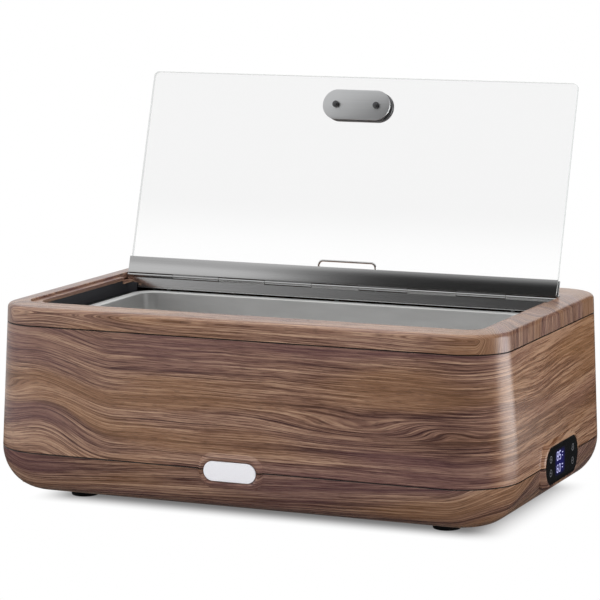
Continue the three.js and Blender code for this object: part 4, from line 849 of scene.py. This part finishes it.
# Opening, well and pan
def liner_strip():
    low, high, flange = 215.7, RIM_UNDER - FIT, 6.2
    under = high - SHEET
    levels = ((-SHEET, low), (-SHEET, under), (-flange, under), (-flange, high), (0, high), (0, low))
    return drawn_round([(inset(LEDGE, amount), z) for amount, z in levels])


def make_liner():
    joint, rear, far, above = LEDGE[1] + LEDGE[3], 98, 400, 300
    front = kept(liner_strip(), (0, joint, 0), (0, 1, 0))
    piece("opening_strip_front", front, LINER, "housing", ["opening_liner_front"])
    for name, side in (("left", -1), ("right", 1)):
        strip = kept(kept(liner_strip(), (0, joint + FIT, 0), (0, -1, 0)), (0, rear, 0), (0, 1, 0))
        lug_room = bmesh.new()
        block(lug_room, (-far, LUG_FRONT - FIT, LUG_BOTTOM - FIT), (far, rear + 1, above))
        strip = combined(kept(strip, (0, 0, 0), (-side, 0, 0)), lug_room)
        piece(f"opening_strip_{name}", strip, LINER, "housing", [f"opening_liner_{name}"])


def make_well():
    floor, corner, inside, flange = 134.2, 12, 3, 214.2
    stud, stud_low, spacer, spacer_low, weld = 2, 98.4, 3.4, 119, floor + 0.5
    lip = ((1.5, flange + SHEET), (0.4, 215), (0, 213.6))
    bm = drawn([*rounded(WELL_MOUTH, inside - SHEET, floor, corner),
                (inset(WELL_MOUTH, -SHEET), flange), (WELL_FLANGE, flange), (WELL_FLANGE, flange + SHEET),
                *((inset(WELL_MOUTH, -amount), z) for amount, z in lip),
                *rounded(WELL_MOUTH, inside, floor + SHEET, corner - SHEET)[::-1]])
    for place in STUDS:
        upright(bm, place, stud_low, weld, stud)
        upright(bm, place, spacer_low, weld, spacer)
    piece("heated_well", bm, ENAMEL, "housing", ["well"])


def make_pan():
    top, depth, inside, corner, sheet = 218.2, 65, 18.5, 14, 1
    lip = [(11.5, -3), (9.5, -1), (1, -1), (1, -2.5), (0.1, -2.5), (0, -0.9), (0.3, -0.2),
           (1, 0), (9.5, 0), (11.2, -0.3), (12.2, -1.1), (12.5, -2.4)]
    bm = drawn([*rounded(PAN_FLANGE, inside - sheet, top - depth - sheet, corner + sheet),
                *((inset(PAN_FLANGE, amount), top + up) for amount, up in lip),
                *rounded(PAN_FLANGE, inside, top - depth, corner)[::-1]])
    piece("pan", bm, SATIN, "pan", ["food_pan"])


# Hinge and lid
def knuckle_spans(parity):
    pitch = 2 * HINGE_HALF / KNUCKLES
    spans = []
    for index in range(parity, KNUCKLES, 2):
        low = index * pitch - HINGE_HALF + (KNUCKLE_GAP / 2 if index else 0)
        high = (index + 1) * pitch - HINGE_HALF - (KNUCKLE_GAP / 2 if index < KNUCKLES - 1 else 0)
        spans.append((low, high))
    return spans


def make_fixed_leaf():
    """The leaf leans, and has a hem and a flange to the rear at its lower edge."""
    half, short = HINGE_HALF, HINGE_HALF - 6
    top, shoulder, bottom, slant = -2.6, -6.3, -14.3, 0.17
    outline = [(-short, bottom), (short, bottom), (half, shoulder),
               (half, top), (-half, top), (-half, shoulder)]
    bm = extruded([(x, LEAF_FRONT + slant * (z - top), HINGE_Z + z) for x, z in outline], (0, LEAF_THICK, 0))
    flange_front, flange_rear = LEAF_FRONT - 1.5, 112.6
    block(bm, (-short, flange_front, LEAF_BOTTOM - LEAF_THICK), (short, flange_rear, LEAF_BOTTOM), edge=0.2)
    hem_y, hem_z, hem = LEAF_FRONT - 0.9, 221, 1.1
    rod(bm, (-short, hem_y, hem_z), (short, hem_y, hem_z), hem, sides=16)
    piece("fixed_leaf", bm, LEAF, "housing", ["hinge_fixed_leaf"])
    bm, strap = bmesh.new(), 3
    for low, high in knuckle_spans(0):
        rod(bm, (low, HINGE_Y, HINGE_Z), (high, HINGE_Y, HINGE_Z), KNUCKLE)
        block(bm, (low, LEAF_FRONT, HINGE_Z - strap), (high, LEAF_FRONT + LEAF_THICK, HINGE_Z))
    piece("fixed_knuckles", bm, POLISHED, "housing", ())


def make_channel():
    front, back, low, high, thick, edge, overlap = -2.0, 8.0, 2.9, 23.9, 1.1, 0.3, 0.5
    section = [(front, low), (back, low), (back, high), (back - thick, high), (back - thick, low + thick),
               (front + thick, low + thick), (front + thick, high), (front, high)]
    bm = softened(extruded([(-HINGE_HALF, y, z) for y, z in section], (2 * HINGE_HALF, 0, 0)), edge)
    for start, end in knuckle_spans(1):
        rod(bm, (start, 0, 0), (end, 0, 0), KNUCKLE)
        block(bm, (start, front, 0), (end, front + thick, low + overlap))
    piece("lid_holder", placed(bm, LID), POLISHED, "lid", ["lid_channel"])


def make_glass():
    """The pane, whose small faces are its cut edge."""
    inner, outer, broad_face = -0.5, -5.5, 0.01
    levels = [(inset(PANE, EASE), inner), (PANE, inner - EASE),
              (PANE, outer + EASE), (inset(PANE, EASE), outer)]
    bm = placed(drawn(levels, steps=8), TO_FRONT, LID)
    made = piece("pane", bm, GLASS, "lid", ["lid_glass"])
    made.data.materials.append(GLASS_EDGE)
    for polygon in made.data.polygons:
        if polygon.area < broad_face:
            polygon.material_index = 1


def make_grip():
    width, height = GRIP
    behind, flank, rounding, bolt_x = 5.8, 7.8, 4.4, 27
    inner_spot = at(0, 0, HANDLE_REACH)
    outer_spot = at(0, behind, HANDLE_REACH)
    levels = [(78, 26, 0), (80, 28, 0.6), (80, 28, 3.2), (82, 30, 3.8), (88, 36, 4.6), (width, height, 5.8),
              (width, height, flank)]
    for a in arc(5)[1:]:
        cut = rounding * (1 - math.cos(a))
        levels.append((width - cut, height - cut, flank + rounding / 2 * math.sin(a)))
    bm = drawn([(centred(wide, high), up) for wide, high, up in levels], steps=24)
    piece("grip_outside", placed(bm, TO_BACK, outer_spot, LID), SHADED_GRIP, "lid", ["handle_outer"])
    levels = ((0, -0.2), (0, 0.9), (0.4, 1.2), (1, 1.3))
    bm = drawn([(centred(width - cut, height - cut), up) for cut, up in levels], steps=24)
    piece("grip_plate", placed(bm, TO_FRONT, inner_spot, LID), PLATE, "lid", ["handle_inner_plate"])
    profile = [(0, -11), (2, -11), (2, 1.6), (4.2, 1.6), (4.2, 3.6),
               (3.8, 4.1), (2.3, 4.2), (2.2, 5), (1.8, 5.4), (0, 5.4)]
    for index, side in enumerate(SIDES):
        spot = at(side * bolt_x, 0, HANDLE_REACH)
        bm = placed(turned(profile, closed=False, steps=28), TO_FRONT, spot, LID)
        piece(f"grip_bolt_{index + 1}", bm, BOLT, "lid", [f"handle_bolt_{index + 1}"])


def make_wire():
    """Wire bent over twice, standing in two holes of the deck."""
    bottom, top, bend, thickness = 222.4, 261.9, 6, 2.8
    half, leg = WIRE_HALF - bend, top - bend
    bm = bmesh.new()
    made = bmesh.ops.create_circle(bm, cap_ends=True, radius=thickness / 2, segments=14,
                                   matrix=at(-WIRE_HALF, WIRE_Y, bottom))
    edges = list({edge for vert in made["verts"] for edge in vert.link_edges})

    def straight(edges, vector):
        far, verts = grown(bm, edges)
        bmesh.ops.translate(bm, vec=vector, verts=verts)
        return far

    def bent(edges, x):
        verts = list({vert for edge in edges for vert in edge.verts})
        return open_edges(bmesh.ops.spin(bm, geom=verts + edges, cent=(x, WIRE_Y, leg), axis=(0, 1, 0),
                                         angle=QUARTER_TURN, steps=10)["geom_last"])

    edges = bent(straight(edges, (0, 0, leg - bottom)), -half)
    edges = bent(straight(edges, (2 * half, 0, 0)), half)
    edges = straight(edges, (0, 0, bottom - leg))
    bmesh.ops.holes_fill(bm, edges=edges, sides=0)
    piece("deck_wire", bm, BRIGHT, "housing", ["wire_loop"], smooth=60)


# Badge plate, control panel, feet and inlet
def make_badge():
    width, height = 65.4, 23
    levels = ((0, -0.9), (0, 0.1), (0.15, 0.35), (0.5, 0.55), (1.1, 0.6))
    bm = drawn([(centred(width - 2 * cut, height - 2 * cut), up) for cut, up in levels], steps=24)
    bm = placed(bm, TO_FRONT, at(0, BADGE_Y, BADGE_Z))
    piece("front_plate", bm, SILVER, "housing", ["badge_plate"])


def make_panel():
    spot = at(PANEL_X, 0, PANEL_Z)
    bulge, back = 16, (120, 44, -3)
    levels = [(120, 44, -0.3), (119.4, 43.4, 0), (116, 40, 0), (115.4, 39.4, -0.3), (115.4, 39.4, -2)]
    bm = placed(raised(barrel(*back[:2], bulge), back, levels), TO_RIGHT, spot)
    piece("panel_frame", bm, TRIM, "housing", ["control_bezel"])
    bulge, back = 15, (115, 39, -1.6)
    levels = [(115, 39, -0.35), (114.4, 38.4, 0)]
    bm = placed(raised(barrel(*back[:2], bulge), back, levels), TO_RIGHT, spot)
    piece("panel_cover", bm, PANEL, "housing", ["control_glass"])


# Bars of a figure: place across, place up, and whether the bar lies flat
BARS = {"top": (0, 1, True), "middle": (0, 0, True), "bottom": (0, -1, True),
        "left_top": (-1, 0.5, False), "right_top": (1, 0.5, False),
        "left_low": (-1, -0.5, False), "right_low": (1, -0.5, False)}
FIGURES = {"8": list(BARS), "5": ["top", "middle", "bottom", "left_top", "right_low"],
           "0": [bar for bar in BARS if bar != "middle"], "6": [bar for bar in BARS if bar != "right_top"]}


def mark(bm, y, z, half_y, half_z, proud=0.06):
    """A thin bar on the face of the panel; its height is given from the panel's middle."""
    z, sunk = z + PANEL_Z, 0.2
    low, high = (PANEL_X - sunk, y - half_y, z - half_z), (PANEL_X + proud, y + half_y, z + half_z)
    block(bm, low, high, edge=0.04)


def figures(bm, text, z, width, height, stroke):
    """Seven-bar figures on the right face, read towards the rear."""
    start, space, gap = -17, 3, 0.2
    for index, letter in enumerate(text):
        left = start + index * (width + space)
        for across, up, flat in (BARS[bar] for bar in FIGURES[letter]):
            half_y = width / 2 - gap if flat else stroke / 2
            half_z = stroke / 2 if flat else height / 4 - gap
            mark(bm, left + across * width / 2, z + up * height / 2, half_y, half_z)


def make_marks():
    bm = bmesh.new()
    figures(bm, "85", z=7.6, width=5.4, height=9.4, stroke=1.4)
    figures(bm, "60", z=-7.4, width=4.8, height=8.4, stroke=1.2)
    signs = ((9.5, 1.9), (5.8, 1.2), (-4.6, 2.6), (-8.4, 1.8))
    for z, half in signs:
        mark(bm, y=1, z=z, half_y=half, half_z=0.6)
    piece("display_figures", bm, LIT, "housing", ())
    bm = bmesh.new()
    inner, outer, under, proud, bar, stroke = 3.4, 4.2, -0.2, 0.05, 2, 0.4
    for y in (-42, 40):
        for z in (-8, 8):
            ring = turned([(inner, under), (outer, under), (outer, proud), (inner, proud)], steps=28)
            joined(bm, placed(ring, TO_RIGHT, at(PANEL_X, y, PANEL_Z + z)))
            mark(bm, y, z, bar, stroke, proud)
            if z > 0:
                mark(bm, y, z, stroke, bar, proud)
    piece("touch_marks", bm, MARKS, "housing", ())


def make_feet():
    profile = [(2.4, 11.7), (17.4, 11.7), (17.5, 11.2), (16.2, 1), (15.6, 0.25),
               (14.8, 0), (6.2, 0), (5.6, 0.5), (5.6, 5), (2.4, 5)]
    for index, (x, y) in enumerate(FEET):
        bm = placed(turned(profile), at(x, y, 0))
        piece(f"foot_pad_{index + 1}", bm, RUBBER, "housing", [f"foot_{index + 1}"])


def hood(half_x, half_z, cut, depth, length):
    """A straight block whose two upper corners are cut."""
    outline = [(-half_x, -half_z), (half_x, -half_z), (half_x, half_z - cut),
               (half_x - cut, half_z), (cut - half_x, half_z), (-half_x, half_z - cut)]
    return extruded([(x, z, -depth) for x, z in outline], (0, 0, length))


def make_inlet():
    """Mains inlet in the rear wall: a flange, a socket with two cut corners, and three blades."""
    outline, thickness, wall, face_y = centred(*INLET_FLANGE, 2.5), 2.4, 1.8, 211.9
    flange = softened(drawn([(outline, -thickness), (outline, 0)], steps=6), EASE)
    half_x, half_z = INLET_BODY[0] / 2, INLET_BODY[1] / 2
    body = hood(half_x, half_z, cut=5, depth=26, length=25)
    socket = hood(half_x - wall, half_z - wall, cut=4.5, depth=21, length=30)
    bm = combined(combined(flange, body, "UNION"), socket)
    blade_x, blade_z, root, tip = 1, 2, -22, -6
    for x, z in ((-7, -2), (7, -2), (0, 2.4)):
        block(bm, (x - blade_x, z - blade_z, root), (x + blade_x, z + blade_z, tip), edge=0.3)
    bm = placed(bm, TO_BACK, at(INLET_X, face_y, INLET_Z))
    piece("power_socket", bm, BLACK, "housing", ["power_inlet"])


for make in (make_base, make_band, make_rim, make_liner, make_well, make_pan, make_fixed_leaf,
             make_channel, make_glass, make_grip, make_wire, make_badge, make_panel, make_marks,
             make_feet, make_inlet):
    make()

# Nodes of the model that stay as they are get their materials
SLOT_PAINT = {"steel": BRIGHT, "dark_steel": LINER, "enamel": ENAMEL, "pan_steel": SATIN,
              "black_plastic": BLACK, "rubber": RUBBER, "display": LIT, "circuit_board": BOARD,
              "badge": SILVER, "element": HEATED, "panel_glass": PANEL, "lid_glass": GLASS,
              "housing": WOOD_BAND}
for entry in frame["record"]["subparts"]:
    for slot in frame["nodes"][entry["node"]].material_slots:
        slot.material = SLOT_PAINT[entry["material_slot"]]

# Studio, in metres
WHITE = (1, 1, 1, 1)
AMBIENT = 0.5
LAMP_AIM = (0, 0, 0.15)
FLOOR_HALF = 6
FLOOR_DROP = 0.0002
FLOOR_SHINE = 0.06
# Where the paper shows the object's shadow, from nothing to full, in millimetres
SHADOW_SIDES, SHADOW_RIGHT, SHADOW_LEFT, SHADOW_SHARE = (183, 124), (318, 255), (-292, -236), 0.82
PAPER_FAR = (700, 950)
# The room as it looks in a shine: turns in radians from the front, heights of a unit vector
LEFT_START, LEFT_WIDTH = 0.31, 0.3
HAZE_ABOVE, HAZE_BELOW, HAZE_LOWEST, HAZE_RISE = (0.02, 0.12), (0.45, 0.2), 0.6, 0.65
BACK_TURN, BACK_HEIGHT, BACK_LOWEST, BACK_RISE = (2.2, 2.5), (0.1, 0.5), 0.15, 0.65
CEILING_HEIGHT, CEILING_LEVEL = (0.5, 0.85), 0.8
WINDOW_START, WINDOW_END, WINDOW_TOP, WINDOW_LEVEL = (1.5, 1.75), (2.45, 2.12), (0.36, 0.14), 4.6
DARKEST, BRIGHTEST = 0.03, 0.9


def ray_kinds(paint):
    """1 for what the camera sees directly or through glass, and 1 for what it sees in a shine."""
    rays = paint.node("LightPath").socket.node
    names = ("Is Camera Ray", "Is Transmission Ray", "Is Glossy Ray")
    direct, through, shine = (Value(paint, rays.outputs[name]) for name in names)
    return direct.math("MAXIMUM", through), shine


def room_level(x, y, z):
    """How bright the room looks in a shine, by direction: dark behind the camera, a low window right."""
    turn = x.math("ARCTAN2", y * -1)
    left = ((turn * -1 - LEFT_START) / LEFT_WIDTH).math("MAXIMUM", 0.0).math("MINIMUM", 1.0)
    back = (turn * -1).between(*BACK_TURN) * (z.between(*BACK_HEIGHT) * BACK_RISE + BACK_LOWEST)
    haze = z.between(*HAZE_ABOVE) * z.between(*HAZE_BELOW) * HAZE_RISE + HAZE_LOWEST
    calm = left * left * haze + back + z.between(*CEILING_HEIGHT) * CEILING_LEVEL + DARKEST
    window = turn.between(*WINDOW_START) * turn.between(*WINDOW_END) * z.between(*WINDOW_TOP) * WINDOW_LEVEL
    return calm.math("MINIMUM", BRIGHTEST) + window


def make_floor():
    """Paper that is pure white for the camera but for the shadow close to the object."""
    bm = bmesh.new()
    bmesh.ops.create_grid(bm, x_segments=2, y_segments=2, size=FLOOR_HALF)
    floor = as_object(as_mesh(bm, "floor"), "floor")
    floor.location.z = -FLOOR_DROP
    paint = Surface("floor_paper", Roughness=0.9, Specular_IOR_Level=0.0)
    x, y, z = paint.place()
    size = 400
    flecks = paint.noise(x / size, y / size, z / size)
    paint.set(Base_Color=paint.ramp(flecks, (0.3, shade(226, 226, 226)), (0.7, shade(230, 230, 230))))
    plain = Value(paint, paint.shader.outputs[0])
    shadow = abs(y).between(*SHADOW_SIDES) * x.between(*SHADOW_RIGHT) * x.between(*SHADOW_LEFT) * SHADOW_SHARE
    white = paint.node("Emission", None, {"Color": WHITE, "Strength": 1.0})
    seen = paint.blend(1 - shadow, plain, white)
    far = (x * x + y * y).math("SQRT").between(*PAPER_FAR)
    level = (room_level(x, y, z) * far).math("MAXIMUM", FLOOR_SHINE)
    shiny = paint.node("Emission", None, {"Color": WHITE, "Strength": level})
    direct, shine = ray_kinds(paint)
    final = paint.blend(shine, paint.blend(direct, plain, seen), shiny)
    paint.feed(paint.tree.nodes["Material Output"].inputs[0], final)
    floor.data.materials.append(paint.material)


def make_surroundings():
    """White all round for the camera; in a shine the side that the camera stands on is darker."""
    world = bpy.data.worlds.new("studio")
    scene.world = world
    world.use_nodes = True
    world.node_tree.nodes.clear()
    paint = Paint(world.node_tree)
    x, y, z = paint.split(paint.node("TexCoord", None, None, "Generated"))
    direct, shine = ray_kinds(paint)
    room, white, light = (paint.node("Background", None, {"Color": WHITE, "Strength": strength})
                          for strength in (room_level(x, y, z), 1.0, AMBIENT))
    final = paint.blend(shine, paint.blend(direct, light, white), room)
    output = paint.tree.nodes.new("ShaderNodeOutputWorld")
    paint.feed(output.inputs[0], final)


def lamp(name, azimuth, elevation, distance, width, height, power):
    data = bpy.data.lights.new(name, "AREA")
    data.shape = "RECTANGLE"
    data.size, data.size_y, data.energy = width, height, power
    made = bpy.data.objects.new(name, data)
    made.visible_glossy = False
    stand(made, azimuth, elevation, distance, LAMP_AIM)


make_floor()
make_surroundings()
lamp("top_light", azimuth=0, elevation=80, distance=2.2, width=2.6, height=2.0, power=36)
lamp("left_light", azimuth=-50, elevation=25, distance=2.4, width=1.2, height=1.6, power=10)
lamp("right_light", azimuth=80, elevation=20, distance=1.9, width=0.8, height=1.3, power=8)
